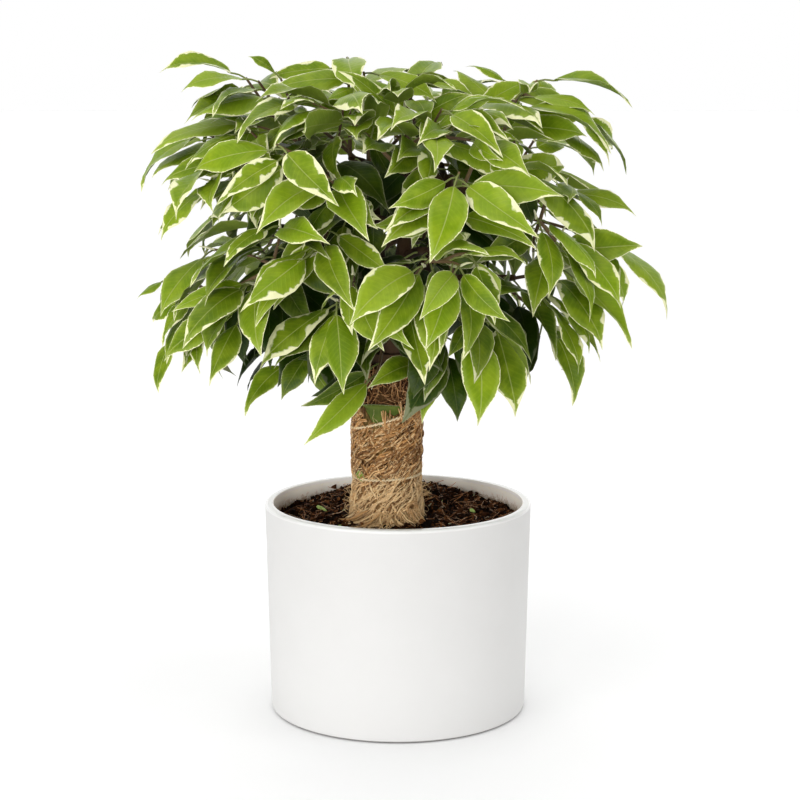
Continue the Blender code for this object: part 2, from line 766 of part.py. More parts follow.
def twig_between(carrier, share, leaf, sunk, draw):
    """A twig from its carrier to the root of its end leaf, lifted on the way and nodding at its end."""
    start, along, radius = carrier.at(share)
    stalk_line = (leaf.foot() - leaf.root).normalized()
    end = leaf.root
    line = end - start
    lean = (line.normalized() + 0.25 * UP + 0.25 * outward(end)).normalized()
    if share == 1.0 and not sunk:
        leave = along
        first = start + along * (GAP + TWIG_RADIUS / 2)
    else:
        flat = (lean - along * lean.dot(along)).normalized()
        leave = (flat * 0.8 + along * 0.6).normalized()
        angle = along.angle(leave)
        reach = radius / math.cos(math.pi / 6) + GAP + TWIG_RADIUS * math.cos(angle)
        first = start if sunk else start + leave * (reach / math.sin(angle))
    nod = (stalk_line + 0.5 * outward(end) + 0.3 * UP).normalized()
    span = (end - first).length
    wander = Vector((draw.uniform(-1, 1), draw.uniform(-1, 1), draw.uniform(-1, 1))) * (span * 0.08)
    count = max(3, round(span / TWIG_SPAN) + 1)
    points = bent(first, first + leave * (span * 0.35), end - nod * (span * 0.3) + wander, end, count)
    points[-1] += (points[-1] - points[-2]).normalized() * STALK_SEAT
    radii = tapered(TWIG_RADIUS, TWIG_TIP_RADIUS, count)
    if sunk:
        radii = [FORK_ROOT_RADIUS] + [TWIG_TIP_RADIUS] * (count - 1)
    return Twig(points, radii, 0)


def aimed_leaves():
    """The end leaf of every shoot: the shown ones first, then an even spread over the rest of the dome."""
    draw = random.Random(SEED)
    shown = [leaf_to(seen(a, b, e), seen(c, d, f), draw, 0.5) for a, b, c, d, e, f in SHOWN_LEAVES]
    forked = [leaf_to(seen(a, b, e), seen(c, d, f), draw, 0.5) for a, b, c, d, e, f in FORKED_LEAVES]
    taken = [leaf.tip() for leaf in shown + forked]
    spread = []
    for direction in even_directions(AIMS, AIM_LOWEST):
        tip = dome(direction)
        tip = CROWN_CENTRE + (tip - CROWN_CENTRE) * draw.uniform(0.93, 1.0)
        if min((tip - other).length for other in taken) < AIM_CLEARANCE:
            continue
        away = outward(tip)
        heading = (away - droop_at(tip.z) * UP + 0.35 * draw.uniform(-1, 1) * away.cross(UP)).normalized()
        length = LEAF_LENGTH + draw.uniform(-1, 1) * LEAF_SPREAD
        spread.append(leaf_to(tip - heading * length, tip, draw))
        taken.append(tip)
    stems = shown + [leaf for i, leaf in enumerate(spread) if i % 3 != 2]
    return stems, forked + spread[2::3]


def nudged(leaf, amount, draw):
    """The same leaf a little to one side and rolled a little."""
    shift = Vector((draw.uniform(-1, 1), draw.uniform(-1, 1), draw.uniform(-1, 1))) * (amount * NUDGE)
    normal = Matrix.Rotation(amount * draw.uniform(-0.1, 0.1), 3, leaf.heading) @ leaf.normal
    return replace(leaf, root=leaf.root + shift, normal=normal)


def find_twig(leaf, carriers, sunk, feet, taken, draw):
    """The first twig that reaches the leaf with nothing in its way."""
    for _, number, share in starts_on(carriers, leaf.root, sunk)[:TWIG_STARTS]:
        carrier = carriers[number]
        twig = twig_between(carrier, share, leaf, sunk, draw)
        if not sunk and any((twig.points[0] - foot).length < FOOT_SPACING for foot in feet):
            continue
        near = bar_mesh(twig.points, twig.radii, CLEARANCE / 2, skip=1)
        whole = bar_mesh(twig.points, twig.radii, CLEARANCE / 4)
        own = ("twig", carrier.shoot) if sunk else None
        if taken.free(*near) and taken.free(*whole, own):
            return twig, carrier
    return None, None


def grow_twigs(frame, taken):
    """Every shoot's twig, then the forks, each with its end leaf."""
    stems, forked = aimed_leaves()
    draw = random.Random(SEED + 1)
    twigs = []
    ends = []
    for turn, aimed in enumerate(stems + forked):
        sunk = turn >= len(stems)
        carriers = list(twigs) if sunk else frame
        twig = None
        for attempt in range(END_TRIES):
            leaf = nudged(aimed, attempt, draw)
            mesh = leaf_mesh(leaf, CLEARANCE / 2)
            if taken.free(*mesh):
                feet = [other.points[0] for other in twigs]
                twig, carrier = find_twig(leaf, carriers, sunk, feet, taken, draw)
            if twig:
                break
        else:
            continue
        twig.shoot = carrier.shoot if sunk else len({other.shoot for other in twigs})
        twigs.append(twig)
        ends.append(leaf)
        taken.add(*bar_mesh(twig.points, twig.radii, CLEARANCE / 2), ("twig", twig.shoot))
        taken.add(*mesh, ("leaf", len(ends)))
    return twigs, ends


def side_leaf(twig, place, side, draw, loosen):
    """A leaf that leaves its twig to one side, outward and down."""
    root, along, _ = twig.at(place)
    across = along.cross(UP)
    if across.length < 0.2:
        across = along.orthogonal()
    across = across.normalized() * side
    scatter = Vector((draw.gauss(0, 1), draw.gauss(0, 1), draw.gauss(0, 1))) * (0.16 + loosen)
    heading = 0.6 * across + 0.55 * along + 0.45 * outward(root) - droop_at(root.z) * UP + scatter
    heading = heading.normalized()
    normal = upper_side(root, heading, draw.gauss(0, 0.25 + loosen))
    length = LEAF_LENGTH + draw.uniform(-1.6, 1) * LEAF_SPREAD
    return Leaf(root, heading, normal, length * (1.0 - 0.35 * loosen), LEAF_ARCH * draw.uniform(0.5, 1.2))


def leaf_fits(leaf, twig, taken):
    if leaf.tip().z < CROWN_HEM or not inside_dome(leaf.tip()) or not inside_dome(leaf.spine(0.5)[0]):
        return False
    points, faces = leaf_mesh(leaf, CLEARANCE / 2)
    own = ("twig", twig.shoot)
    return taken.free(points, faces, own) and taken.free(*blade_only(points, faces))


def grow_leaves(twigs, taken, spacing=LEAF_SPACING, tries=LEAF_TRIES, seed=SEED + 2):
    """Side leaves for every twig, by turns, from the tips inward."""
    places = []
    for number, twig in enumerate(twigs):
        length = twig.length()
        count = int((length - BARE_FOOT) / spacing)
        for i in range(count):
            places.append((i, number, 1.0 - (i + 0.8) * spacing / length))
    leaves = []
    for i, number, place in sorted(places):
        if len(twigs) + len(leaves) == LEAVES:
            break
        draw = random.Random(seed * 1000003 + number * 1009 + i)
        for attempt in range(tries):
            side = 1 if (i + number + attempt // 8) % 2 else -1
            leaf = side_leaf(twigs[number], max(0.04, place), side, draw, attempt / tries * 0.8)
            if leaf_fits(leaf, twigs[number], taken):
                taken.add(*leaf_mesh(leaf, CLEARANCE / 2), ("leaf", number, i))
                leaves.append((number, leaf))
                break
    return leaves


def wrap_room(taken):
    """The trunk and its wrapping take their room before any leaf does."""
    heights = [WRAP_FOOT, WAIST_HEIGHT, NET_TOP, SLEEVE_TOP, TRUNK_TOP]
    radii = [wrap_radius(height) + WRAP_MARGIN for height in heights[:3]] + [WRAP_RADIUS, TRUNK_TOP_RADIUS]
    taken.add(*bar_mesh([TRUNK_AXIS + UP * height for height in heights], radii, sides=16), ("wrap",))


# Crown: solids

def seat(twig, wood):
    """Move the twig's foot along its first stretch until it lies one gap from the wood that carries it."""
    along = (twig.points[1] - twig.points[0]).normalized()
    side = along.orthogonal().normalized() * twig.radii[0]
    offsets = [Vector()]
    for i in range(SEAT_PLACES):
        offset = Matrix.Rotation(math.tau * i / SEAT_PLACES, 3, along) @ side
        offsets += [offset, offset / 2]
    for _ in range(SEAT_STEPS):
        nearest = min(wood.find_nearest(twig.points[0] + offset)[3] for offset in offsets)
        twig.points[0] = twig.points[0] - along * (nearest - GAP)


def make_trunk(leaders, limbs, group):
    """Trunk, leaders and limbs, grown as one piece."""
    bark = finish("fig_bark", (0.085, 0.045, 0.028), 0.8)
    pieces = collection("woody_pieces")
    levels = (TRUNK_FOOT, TRUNK_MIDDLE, TRUNK_TOP)
    points = [TRUNK_AXIS + UP * level for level in levels]
    radii = [TRUNK_RADIUS, TRUNK_RADIUS, TRUNK_TOP_RADIUS]
    trunk = tube("trunk", points, radii, TRUNK_SIDES, group)
    for i, leader in enumerate(leaders):
        tube(f"leader_{i + 1}", leader.points, leader.radii, BRANCH_SIDES, pieces)
    for i, limb in enumerate(limbs):
        tube(f"limb_{i + 1}", limb.points, limb.radii, BRANCH_SIDES, pieces)
    trunk = with_material(fuse(trunk, pieces, "EXACT"), bark)
    shade(trunk)
    return trunk


def make_shoots(twigs, ends, leaves, trunk, group, green):
    """One node for each shoot: its twig, its forks and all their leaves, joined."""
    corners = [vertex.co for vertex in trunk.data.vertices]
    wood = BVHTree.FromPolygons(corners, [face.vertices for face in trunk.data.polygons])
    for shoot in sorted({twig.shoot for twig in twigs}):
        own = [number for number, twig in enumerate(twigs) if twig.shoot == shoot]
        pieces = collection("shoot_pieces")
        stem = twigs[own[0]]
        seat(stem, wood)
        base = tube(f"shoot_{shoot + 1:02d}", stem.points, stem.radii, TWIG_SIDES, group)
        for number in own[1:]:
            tube(f"fork_{number}", twigs[number].points, twigs[number].radii, TWIG_SIDES, pieces)
        blades = [ends[number] for number in own] + [leaf for number, leaf in leaves if number in own]
        for i, leaf in enumerate(blades):
            mesh_object(f"leaf_{i}", *leaf_mesh(leaf), pieces, None)
        with_material(fuse(base, pieces, "MANIFOLD"), green)


def plan_crown():
    """Everything that grows above the wrapping: bars, twigs, end leaves and side leaves."""
    leaders = plan_leaders()
    limbs = plan_limbs(leaders)
    taken = Taken()
    wrap_room(taken)
    for bar in leaders + limbs:
        taken.add(*bar_mesh(bar.points, bar.radii), ("wood", bar.shoot))
    twigs, ends = grow_twigs(limbs + leaders, taken)
    leaves = grow_leaves(twigs, taken)
    return leaders, limbs, twigs, ends, leaves


def main():
    clear_scene()
    group = collection("potted_weeping_fig")
    guides = collection("guides")
    green = finish("leaf_green", (0.13, 0.27, 0.035), 0.4)
    make_pot(group)
    make_soil(group, guides)
    make_sleeve(group)
    make_net(group)
    twine = finish("twine", (0.52, 0.42, 0.27), 0.85)
    make_tie("lower_tie", WAIST_HEIGHT, LOWER_TIE_RISE, group, twine)
    make_tie("upper_tie", UPPER_TIE_HEIGHT, UPPER_TIE_RISE, group, twine)
    make_tucked_leaf(group, green)
    leaders, limbs, twigs, ends, leaves = plan_crown()
    trunk = make_trunk(leaders, limbs, group)
    make_shoots(twigs, ends, leaves, trunk, group, green)


main()
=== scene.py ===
"""The looks of the potted weeping fig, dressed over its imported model.

Metres, +Z up, the front faces -Y. The crown is planned by the same rules and the same random draws as the
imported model's, so each fine leaf lies where its plain one does, and a second pass fills the crown with more
leaves. The wrapping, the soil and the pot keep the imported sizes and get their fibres, crumbs and glaze here.
"""

import json
import math
import random
from dataclasses import dataclass, replace

import bmesh
import bpy
from mathutils import Matrix, Vector
from mathutils.bvhtree import BVHTree
from mathutils.geometry import interpolate_bezier

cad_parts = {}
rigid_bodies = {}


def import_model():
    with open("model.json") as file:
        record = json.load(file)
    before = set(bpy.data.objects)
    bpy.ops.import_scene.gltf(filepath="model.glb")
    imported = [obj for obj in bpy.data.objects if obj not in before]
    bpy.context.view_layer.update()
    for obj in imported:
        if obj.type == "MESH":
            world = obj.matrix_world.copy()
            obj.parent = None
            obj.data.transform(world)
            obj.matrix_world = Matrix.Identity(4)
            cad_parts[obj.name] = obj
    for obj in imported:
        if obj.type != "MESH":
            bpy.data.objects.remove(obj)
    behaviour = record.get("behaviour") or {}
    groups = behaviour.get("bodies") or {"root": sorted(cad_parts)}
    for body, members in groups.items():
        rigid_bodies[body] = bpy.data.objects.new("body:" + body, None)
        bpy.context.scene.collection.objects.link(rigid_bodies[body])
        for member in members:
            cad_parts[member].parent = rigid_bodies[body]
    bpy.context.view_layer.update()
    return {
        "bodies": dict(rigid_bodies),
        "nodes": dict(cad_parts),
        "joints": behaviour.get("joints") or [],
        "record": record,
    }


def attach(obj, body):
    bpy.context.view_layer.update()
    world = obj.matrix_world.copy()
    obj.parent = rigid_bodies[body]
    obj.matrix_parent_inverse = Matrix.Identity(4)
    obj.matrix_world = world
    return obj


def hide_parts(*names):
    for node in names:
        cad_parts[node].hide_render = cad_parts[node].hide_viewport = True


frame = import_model()

MM = 0.001
UP = Vector((0.0, 0.0, 1.0))
FRONT = Vector((0.0, -1.0, 0.0))
GAP = 0.3 * MM
SEED = 11

# Pot
POT_RADIUS = 72.5 * MM
POT_HEIGHT = 115.0 * MM
POT_WALL = 4.5 * MM
POT_FLOOR = 7.0 * MM
POT_BASE_RADIUS = 70.0 * MM
POT_CORNER = 2.4 * MM
POT_INNER_CORNER = 6.0 * MM
LIP_INSIDE = 0.6 * MM
LIP_OUTSIDE = 1.7 * MM

# Soil
SOIL_LEVEL = 105.5 * MM
SOIL_MOUND = 2.5 * MM
SOIL_LUMPS = 1.3 * MM
SOIL_WAVES = (210.0, 190.0, 390.0, 330.0)

# Trunk and its wrapping, all on one upright axis
TRUNK_AXIS = Vector((-6.0 * MM, -5.0 * MM, 0.0))
TRUNK_FOOT = 52.0 * MM
TRUNK_MIDDLE = 120.0 * MM
TRUNK_TOP = 198.0 * MM
TRUNK_RADIUS = 14.0 * MM
TRUNK_TOP_RADIUS = 13.0 * MM
WRAP_FOOT = 95.0 * MM
WRAP_RADIUS = 19.9 * MM
WRAP_FLARE = 1.2 * MM
WRAP_WAIST = 0.8 * MM
WAIST_HEIGHT = 131.0 * MM
WAIST_LENGTH = 9.0 * MM
WRAP_MARGIN = 2.5 * MM
WRAP_INSET = 1.6 * MM
SLEEVE_INSET = 2.0 * MM
SLEEVE_TOP = 192.5 * MM
NET_RELIEF = 0.9 * MM
NET_TOP = 168.0 * MM
NET_SLANT = 4.0 * MM
UPPER_TIE_HEIGHT = 163.0 * MM
UPPER_TIE_RISE = 6.0 * MM
LOWER_TIE_RISE = 1.0 * MM
TUCKED_LEAF_ANGLES = (math.radians(-140), math.radians(-55))

# Crown: a flat-topped dome of leaves round the point where the leaders part
CROWN_CENTRE = Vector((-5.0 * MM, 0.0, 250.0 * MM))
CROWN_REACH = 131.0 * MM
CROWN_RISE = 100.0 * MM
CROWN_DROP = 84.0 * MM
CROWN_SQUARENESS = 2.7
CROWN_HEM = 166.0 * MM
GOLDEN_ANGLE = math.radians(137.508)
LEADER_HEADINGS = (math.radians(186), math.radians(-68), math.radians(22), math.radians(104))
LEADER_RADIUS = 6.2 * MM
LEADER_TIP_RADIUS = 2.6 * MM
LEADER_SPREAD = 36.0 * MM
LEADER_TOP = 292.0 * MM
LEADER_STEP = 14.0 * MM
LEADER_ROOT = (5.0 * MM, -9.0 * MM)
LEADER_POINTS = 7
LIMBS = 16
LIMB_SHARE = 0.52
LIMB_RADIUS = 2.7 * MM
LIMB_TIP_RADIUS = 1.7 * MM
LIMB_LOWEST = math.radians(112)
LIMB_STARTS = (0.3, 0.42, 0.54, 0.66, 0.78, 0.9)
LIMB_CLIMB = 12.0 * MM
LIMB_POINTS = 4
AIMS = 63
AIM_LOWEST = math.radians(121)
AIM_CLEARANCE = 30.0 * MM
TWIG_RADIUS = 1.5 * MM
TWIG_TIP_RADIUS = 1.15 * MM
FORK_ROOT_RADIUS = 0.75 * MM
STALK_SEAT = 0.9 * MM
TWIG_SPAN = 22.0 * MM
FOOT_SPACING = 4.8 * MM
TWIG_SHORTEST = 12.0 * MM
TWIG_LONGEST = 105.0 * MM
TWIG_PLACES = (0.35, 0.5, 0.65, 0.8, 0.92, 1.0)
FORK_ANGLE = math.radians(45)
BEND_COST = 40.0 * MM
FORK_COST = 25.0 * MM
SIDE_COST = 6.0 * MM
CLEARANCE = 0.6 * MM

# Leaves
LEAF_LENGTH = 46.0 * MM
LEAF_SPREAD = 5.0 * MM
LEAF_WIDTH = 0.48
LEAF_ARCH = math.radians(48)
LEAF_MIDRIB = 1.6 * MM
LEAF_STATIONS = ((0.0, 0.08), (0.17, 0.78), (0.43, 1.0), (0.76, 0.40))
STALK = 9.0 * MM
STALK_RADIUS = 0.8 * MM
STALK_TAPER = 0.6
STALK_LIFT = 0.35
BARE_FOOT = 6.0 * MM
LEAF_SPACING = 9.6 * MM
LEAF_TRIES = 30
LEAVES = 290
END_TRIES = 9
TWIG_STARTS = 24
NUDGE = 1.0 * MM

# The viewer's eye from which the shown leaves below were measured
EYE = Vector((1.1 * MM, -1087.5 * MM, 340.3 * MM))

# Leaves that mark the outline or the front, in millimetres: the blade's foot and tip, across and up as they
# appear in the upright plane through the origin, then the depths at which the foot and the tip really lie
SHOWN_LEAVES = (
    (-88, 346, -126, 348, -10, -20),
    (-65, 346, -79, 355, 0, 0),
    (-10, 345, 21, 332, -20, -30),
    (82, 342, 125, 330, -10, -20),
    (70, 326, 116, 305, -20, -40),
    (71, 292, 107, 254, -50, -70),
    (112, 255, 147, 216, -10, -25),
    (94, 238, 128, 201, -30, -50),
    (86, 205, 96, 168, -20, -30),
    (42, 208, 44, 158, -85, -100),
    (-17, 181, -51, 148, -75, -98),
    (-62, 190, -84, 163, -40, -50),
    (-123, 202, -131, 175, -20, -25),
    (-105, 248, -129, 218, -30, -45),
    (-84, 232, -117, 202, -70, -95),
    (-103, 284, -128, 259, -30, -45),
    (-110, 311, -138, 285, -10, -25),
    (-84, 319, -132, 306, -20, -35),
    (-53, 330, -86, 312, -60, -80),
    (30, 288, 17, 248, -105, -125),
    (-41, 289, -76, 264, -85, -110),
    (-50, 249, -85, 222, -90, -115),
    (-33, 219, -30, 176, -95, -115),
    (8, 242, -26, 215, -105, -128),
    (29, 325, 56, 304, -80, -100),
    (-26, 353, -20, 336, -5, -48),
)

# The same for leaves that end a fork of such a shoot
FORKED_LEAVES = (
    (-82, 343, -115, 338, -30, -40),
    (-30, 346, -46, 339, -30, -40),
    (18, 340, 44, 330, -20, -25),
    (86, 335, 52, 340, 0, -10),
    (74, 320, 111, 296, 10, 0),
    (93, 256, 121, 223, -40, -60),
    (-87, 213, -103, 180, -60, -75),
    (-127, 235, -141, 226, 0, -5),
    (-59, 305, -32, 278, -90, -110),
    (52, 304, 64, 273, -75, -95),
    (77, 263, 82, 228, -65, -80),
    (30, 241, 12, 217, -110, -130),
    (42, 245, 53, 214, -95, -110),
    (6, 220, 15, 181, -90, -105),
    (-70, 264, -94, 246, -75, -95),
    (27, 195, 33, 160, -60, -70),
    (53, 210, 65, 163, -70, -85),
    (9, 191, -16, 179, -60, -80),
    (-29, 232, -29, 206, -90, -105),
    (94, 284, 110, 266, -20, -30),
    (-48, 197, -64, 172, -50, -60),
    (-112, 225, -128, 201, -40, -50),
    (-71, 333, -110, 323, -30, -45),
    (-86, 314, -114, 297, -40, -55),
    (56, 342, 36, 350, 0, 0),
)

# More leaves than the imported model's
EXTRA_SPACING = 6.6 * MM
EXTRA_LEAVES = 330
EXTRA_ROOM = 0.05 * MM
INNER_SPACING = 4.0 * MM
INNER_LEAVES = 220
LEAF_GROUPS = 8
SPIKE_DEPTH = 0.82
# Painted shade: from these depths in the crown, and more so low in it, leaves get darker tones
SHADE_DEPTH = 0.36
LOW_SHADE = 0.38
SPIKE_LENGTHS = (6.0 * MM, 11.0 * MM)
SPIKE_THICKNESS = 0.75 * MM
TWIG_SUNK = 3.0 * MM
TWIG_THICKNESS = 1.15 * MM
TWIG_TIP_THICKNESS = 0.65 * MM
STALK_THICKNESS = 0.5 * MM

# Openings through the crown that stay clear of the added leaves, as the eye sees them in the upright plane
# through the origin: across, up and reach, in millimetres
OPENINGS = (
    (-28.4, 298.9, 7.0),
    (46.8, 280.2, 8.0),
    (72.2, 272.1, 14.0),
    (74.0, 292.0, 12.0),
    (97.0, 300.0, 14.0),
    (78.7, 309.5, 5.0),
    (76.0, 317.5, 7.0),
    (103.3, 277.5, 8.0),
    (111.2, 285.5, 6.0),
    (122.3, 264.1, 7.0),
    (109.0, 253.3, 10.0),
    (87.5, 247.9, 5.0),
    (96.1, 209.8, 12.0),
    (104.4, 198.9, 8.0),
    (-127.5, 301.6, 8.0),
    (-120.2, 258.7, 5.0),
    (-99.7, 185.2, 5.0),
    (-31.6, 176.9, 6.0),
    (-7.1, 179.7, 9.0),
    (6.5, 185.2, 7.0),
    (14.4, 346.5, 7.0),
    (-52.2, 343.9, 7.0),
    (95.0, 285.6, 7.0),
    (117.0, 261.3, 6.0),
    (100.0, 241.4, 7.0),
    (91.0, 188.0, 6.0),
    (108.6, 209.8, 6.0),
    (-108.9, 295.2, 8.0),
    (38.4, 339.7, 6.0),
    (3.8, 348.1, 5.0),
)

# Leaf blades, in shares of their length: the outline's half widths, then each form's fold, curl, wave, twist,
# sideways sway and phase
BLADE_HALF_WIDTH = 0.24
BLADE_OUTLINE = ((0.0, 0.06), (0.04, 0.28), (0.12, 0.62), (0.24, 0.91), (0.36, 1.0), (0.48, 0.98),
                 (0.60, 0.86), (0.70, 0.66), (0.79, 0.40), (0.86, 0.22), (0.94, 0.08), (1.0, 0.0))
BLADE_STATIONS = (0.05, 0.13, 0.25, 0.40, 0.55, 0.69, 0.81, 0.91)
BLADE_THICKNESS = 0.006
BLADE_DRIP = 0.9
CHART_UPPER = 0.25
CHART_UNDER = 0.75
CHART_HALF = 0.24
VEIN_PAIRS = 15.0
VEIN_SLANT = 0.8
MARGIN = 0.0055
MARGIN_TOOTH = 0.042
MIDRIB_EDGES = (0.004, 0.010)
BLADE_ARCHES = (24, 32, 40, 48, 56)
BLADE_FORMS = (
    (0.34, 0.36, 0.020, 0.15, 0.02, 0.0),
    (0.66, 0.34, 0.024, -0.40, -0.03, 1.7),
    (0.22, 0.50, 0.022, 0.45, 0.03, 3.9),
    (0.54, 0.44, 0.028, 0.70, -0.04, 5.1),
    (0.44, 0.40, 0.026, -0.75, 0.04, 2.6),
)
BLADE_WIDTHS = (0.64, 0.96)
SHOWN_WIDTHS = (0.82, 1.03)

# Single leaves that differ from their neighbours, by where the eye sees them in the upright plane through the
# origin: across and up in millimetres, then shares of the length and of the width, and how young the leaf is
ODD_LEAVES = (
    (-33.0, 165.0, 1.0, 0.62, 0.15),
    (-9.0, 188.0, 1.0, 1.0, 0.5),
    (22.0, 231.0, 1.0, 1.0, 0.45),
    (67.6, 237.0, 0.5, 0.55, 1.1),
    (75.0, 310.6, 0.55, 0.5, 0.5),
    (-52.0, 229.0, 0.5, 0.6, 0.9),
    (96.0, 215.3, 0.9, 0.6, 0.0),
    (104.0, 207.0, 0.9, 0.6, 0.0),
    (96.0, 239.0, 1.0, 0.6, 0.0),
    (109.0, 258.7, 1.0, 0.6, 0.0),
    (97.5, 288.0, 1.0, 0.6, 0.0),
    (43.7, 341.3, 1.0, 0.6, 0.0),
    (12.0, 349.0, 1.0, 0.6, 0.0),
    (-34.0, 183.0, 0.8, 0.8, 0.0),
    (12.0, 174.0, 1.0, 1.0, 0.5),
    (17.4, 184.5, 1.0, 1.0, 0.3),
    (-73.0, 179.6, 1.0, 1.0, 0.5),
    (-56.6, 185.7, 1.0, 1.0, 0.4),
)

# Leaves that close the crown's curtain: foot and tip, across and up in millimetres in that plane, and how far
# a foot may be from its twig
CURTAIN = (
    (-90.2, 207.1, -93.7, 181.0),
    (-82.0, 220.0, -79.5, 193.0),
    (-84.0, 213.0, -82.0, 188.0),
    (-126.0, 238.0, -134.5, 213.0),
    (-96.0, 286.0, -98.5, 263.0),
    (-78.0, 203.0, -82.4, 175.0),
    (-128.8, 234.4, -136.5, 208.0),
    (-52.0, 200.0, -68.8, 173.6),
    (-53.3, 198.0, -57.8, 171.5),
    (77.2, 205.0, 75.3, 179.0),
    (50.1, 196.0, 55.7, 168.6),
    (-106.0, 210.0, -113.3, 186.0),
    (-70.7, 205.0, -74.1, 180.0),
    (29.3, 223.0, 27.2, 196.0),
    (-88.0, 205.0, -79.5, 181.0),
)
CURTAIN_REACH = 28.0 * MM

# Pot, soil and wrapping
POT_STEPS = 160
SOIL_STEPS = 72
SOIL_RINGS = 26
SOIL_ROUGH = 0.5 * MM
SOIL_SKIRT = 60.0 * MM
SOIL_BANK = 4.6 * MM
SOIL_BANK_START = 8.0 * MM
SOIL_BANK_LENGTH = 40.0 * MM
SOIL_BANK_WIDTH = 28.0 * MM
SOIL_BANK_FALL = 20.0 * MM
CRUMBS = 5200
CRUMB_SIZE = 1.45 * MM
CRUMB_KINDS = 6
SCRAPS = 60
GREEN_SCRAPS = ((-42.1 * MM, 6.6 * MM, 9.5 * MM), (40.8 * MM, 1.3 * MM, 4.6 * MM))
SOIL_FIBRES = 560
NET_SLOPES = (math.radians(46), math.radians(24))
NET_STEP = 2.6 * MM
NET_LEVELS = 15
NET_BUNDLES = 18
NET_FIBRES = 4
NET_BUNDLE_WIDTH = 2.2 * MM
NET_THICKNESS = (0.20 * MM, 0.68 * MM)
NET_CROSSINGS = 640
CROSSING_SLOPES = (0.75, 0.6, 0.9, 1.35, 1.7, -0.5, 2.3)
NET_WISPS = 90
FOOT_STRAWS = 230
FOOT_ANGLES = (-152.0, -28.0)
FOOT_REACH = 19.0 * MM
FOOT_POINTS = 6
LOW_WISPS = 120
STANDING_STRAWS = ((-96.0, -84.0, 169.0, 16), (-70.0, -47.0, 174.0, 18))
HOLLOW_REACH = 2.3 * MM
STRAW_EDGE = ((-180.0, 168.5), (-75.0, 167.0), (-56.0, 171.0), (-41.0, 170.0), (-24.0, 161.3), (2.0, 163.5),
              (20.0, 167.0), (40.0, 170.5), (90.0, 170.0), (180.0, 168.5))
# Where the straw turns paler low on the trunk: partly its own colour, partly painted light
PALE_HEIGHT = 136.0 * MM
PALE_LENGTH = 16.0 * MM
LOOP_FIBRES = 26
LOOP_PLACE = (math.radians(-47), 114.5 * MM)
LOOP_RADII = (3.0 * MM, 5.6 * MM)
LOOP_POINTS = 9
COIR_FIBRES = 620
SLEEVE_LEVELS = 11
FIBRE_STEPS = 4
TWINE_POINTS = 120
TWINE_TURNS = 26
TWINE_PLY = 0.38 * MM
TUCKED_LEAF_OUT = -0.6 * MM
TUCKED_LEAF_EDGES = ((0.0, 170.6, 170.2), (0.1, 171.4, 168.0), (0.32, 172.0, 160.5), (0.6, 171.8, 160.0),
                     (0.85, 171.2, 162.0), (1.0, 169.5, 169.0))
SCRAP_ANGLES = (math.radians(-152), math.radians(-128))
SCRAP_EDGES = ((0.0, 132.2, 131.8), (0.3, 135.0, 129.6), (0.7, 134.4, 129.2), (1.0, 131.0, 130.6))

# Finishes, linear light
DEEP_GREEN = (0.034, 0.080, 0.003)
FRESH_GREEN = (0.210, 0.335, 0.007)
LIME_GREEN = (0.37, 0.48, 0.025)
# Dark green for the blades' mottle and for their painted shade
DARK_GREEN = (0.008, 0.025, 0.0007)
PALE_GREEN = (0.40, 0.50, 0.09)
YOUNG_GREEN = (0.42, 0.54, 0.08)
CREAM = (0.84, 0.84, 0.42)
PALE_CREAM = (0.95, 0.94, 0.64)
RIB_GREEN = (0.44, 0.50, 0.14)
UNDERSIDE = (0.22, 0.28, 0.06)
LEAF_SHINE = 0.15
STALK_TINTS = ((0.30, 0.38, 0.10), (0.14, 0.17, 0.05), (0.16, 0.10, 0.05))
TWIG_BARK = ((0.075, 0.036, 0.018), (0.20, 0.125, 0.055), (0.27, 0.20, 0.12))
FIG_BARK = ((0.024, 0.011, 0.005), (0.080, 0.042, 0.020), (0.15, 0.10, 0.065))
TWINE = ((0.64, 0.47, 0.25), (0.97, 0.83, 0.58))
SCRAP_TINTS = ((0.42, 0.62, 0.16), (0.78, 0.74, 0.62), (0.25, 0.20, 0.10))
STRAW = ((0.13, 0.049, 0.012), (0.65, 0.335, 0.115), (1.0, 0.74, 0.41))
# The backing's dark tone is painted shade in the gaps between the straws; its pale low colour is partly its
# own and partly painted light
STRAW_BACKING = ((0.070, 0.030, 0.010), (0.44, 0.24, 0.090), (0.27, 0.20, 0.060))
PALE_AND_LIT_BACKING = (0.72, 0.42, 0.19)
COIR = ((0.13, 0.048, 0.015), (0.55, 0.27, 0.10), (0.74, 0.47, 0.23))
# The felt's dark tone is painted shade in the gaps between the coir fibres
COIR_FELT = ((0.030, 0.011, 0.004), (0.20, 0.090, 0.032), (0.13, 0.07, 0.025))
SOIL_DARK = (0.007, 0.0022, 0.0008)
SOIL_LIGHT = (0.055, 0.019, 0.007)
SOIL_RUST = (0.30, 0.12, 0.040)
SOIL_FIBRE = ((0.09, 0.026, 0.008), (0.46, 0.20, 0.075), (0.82, 0.62, 0.44))
POT_WHITE = (0.745, 0.738, 0.725)
POT_SHADE = (0.705, 0.698, 0.685)
# Painted light on the pot: the whiter lip top and lower wall, the whiter inside and its glow
PAINTED_LIGHT_WHITE = (0.97, 0.965, 0.95)
LIT_INNER_WHITE = (0.98, 0.92, 0.84)
INNER_GLOW = (0.130, 0.118, 0.102)
INNER_DUST = (0.62, 0.48, 0.36)
FOOT_SHADOW = (0.10, 0.09, 0.085)
BLACK = (0.0, 0.0, 0.0)
FLOOR_WHITE = (0.90, 0.90, 0.90)
FLOOR_SHADE = (0.89, 0.89, 0.89)

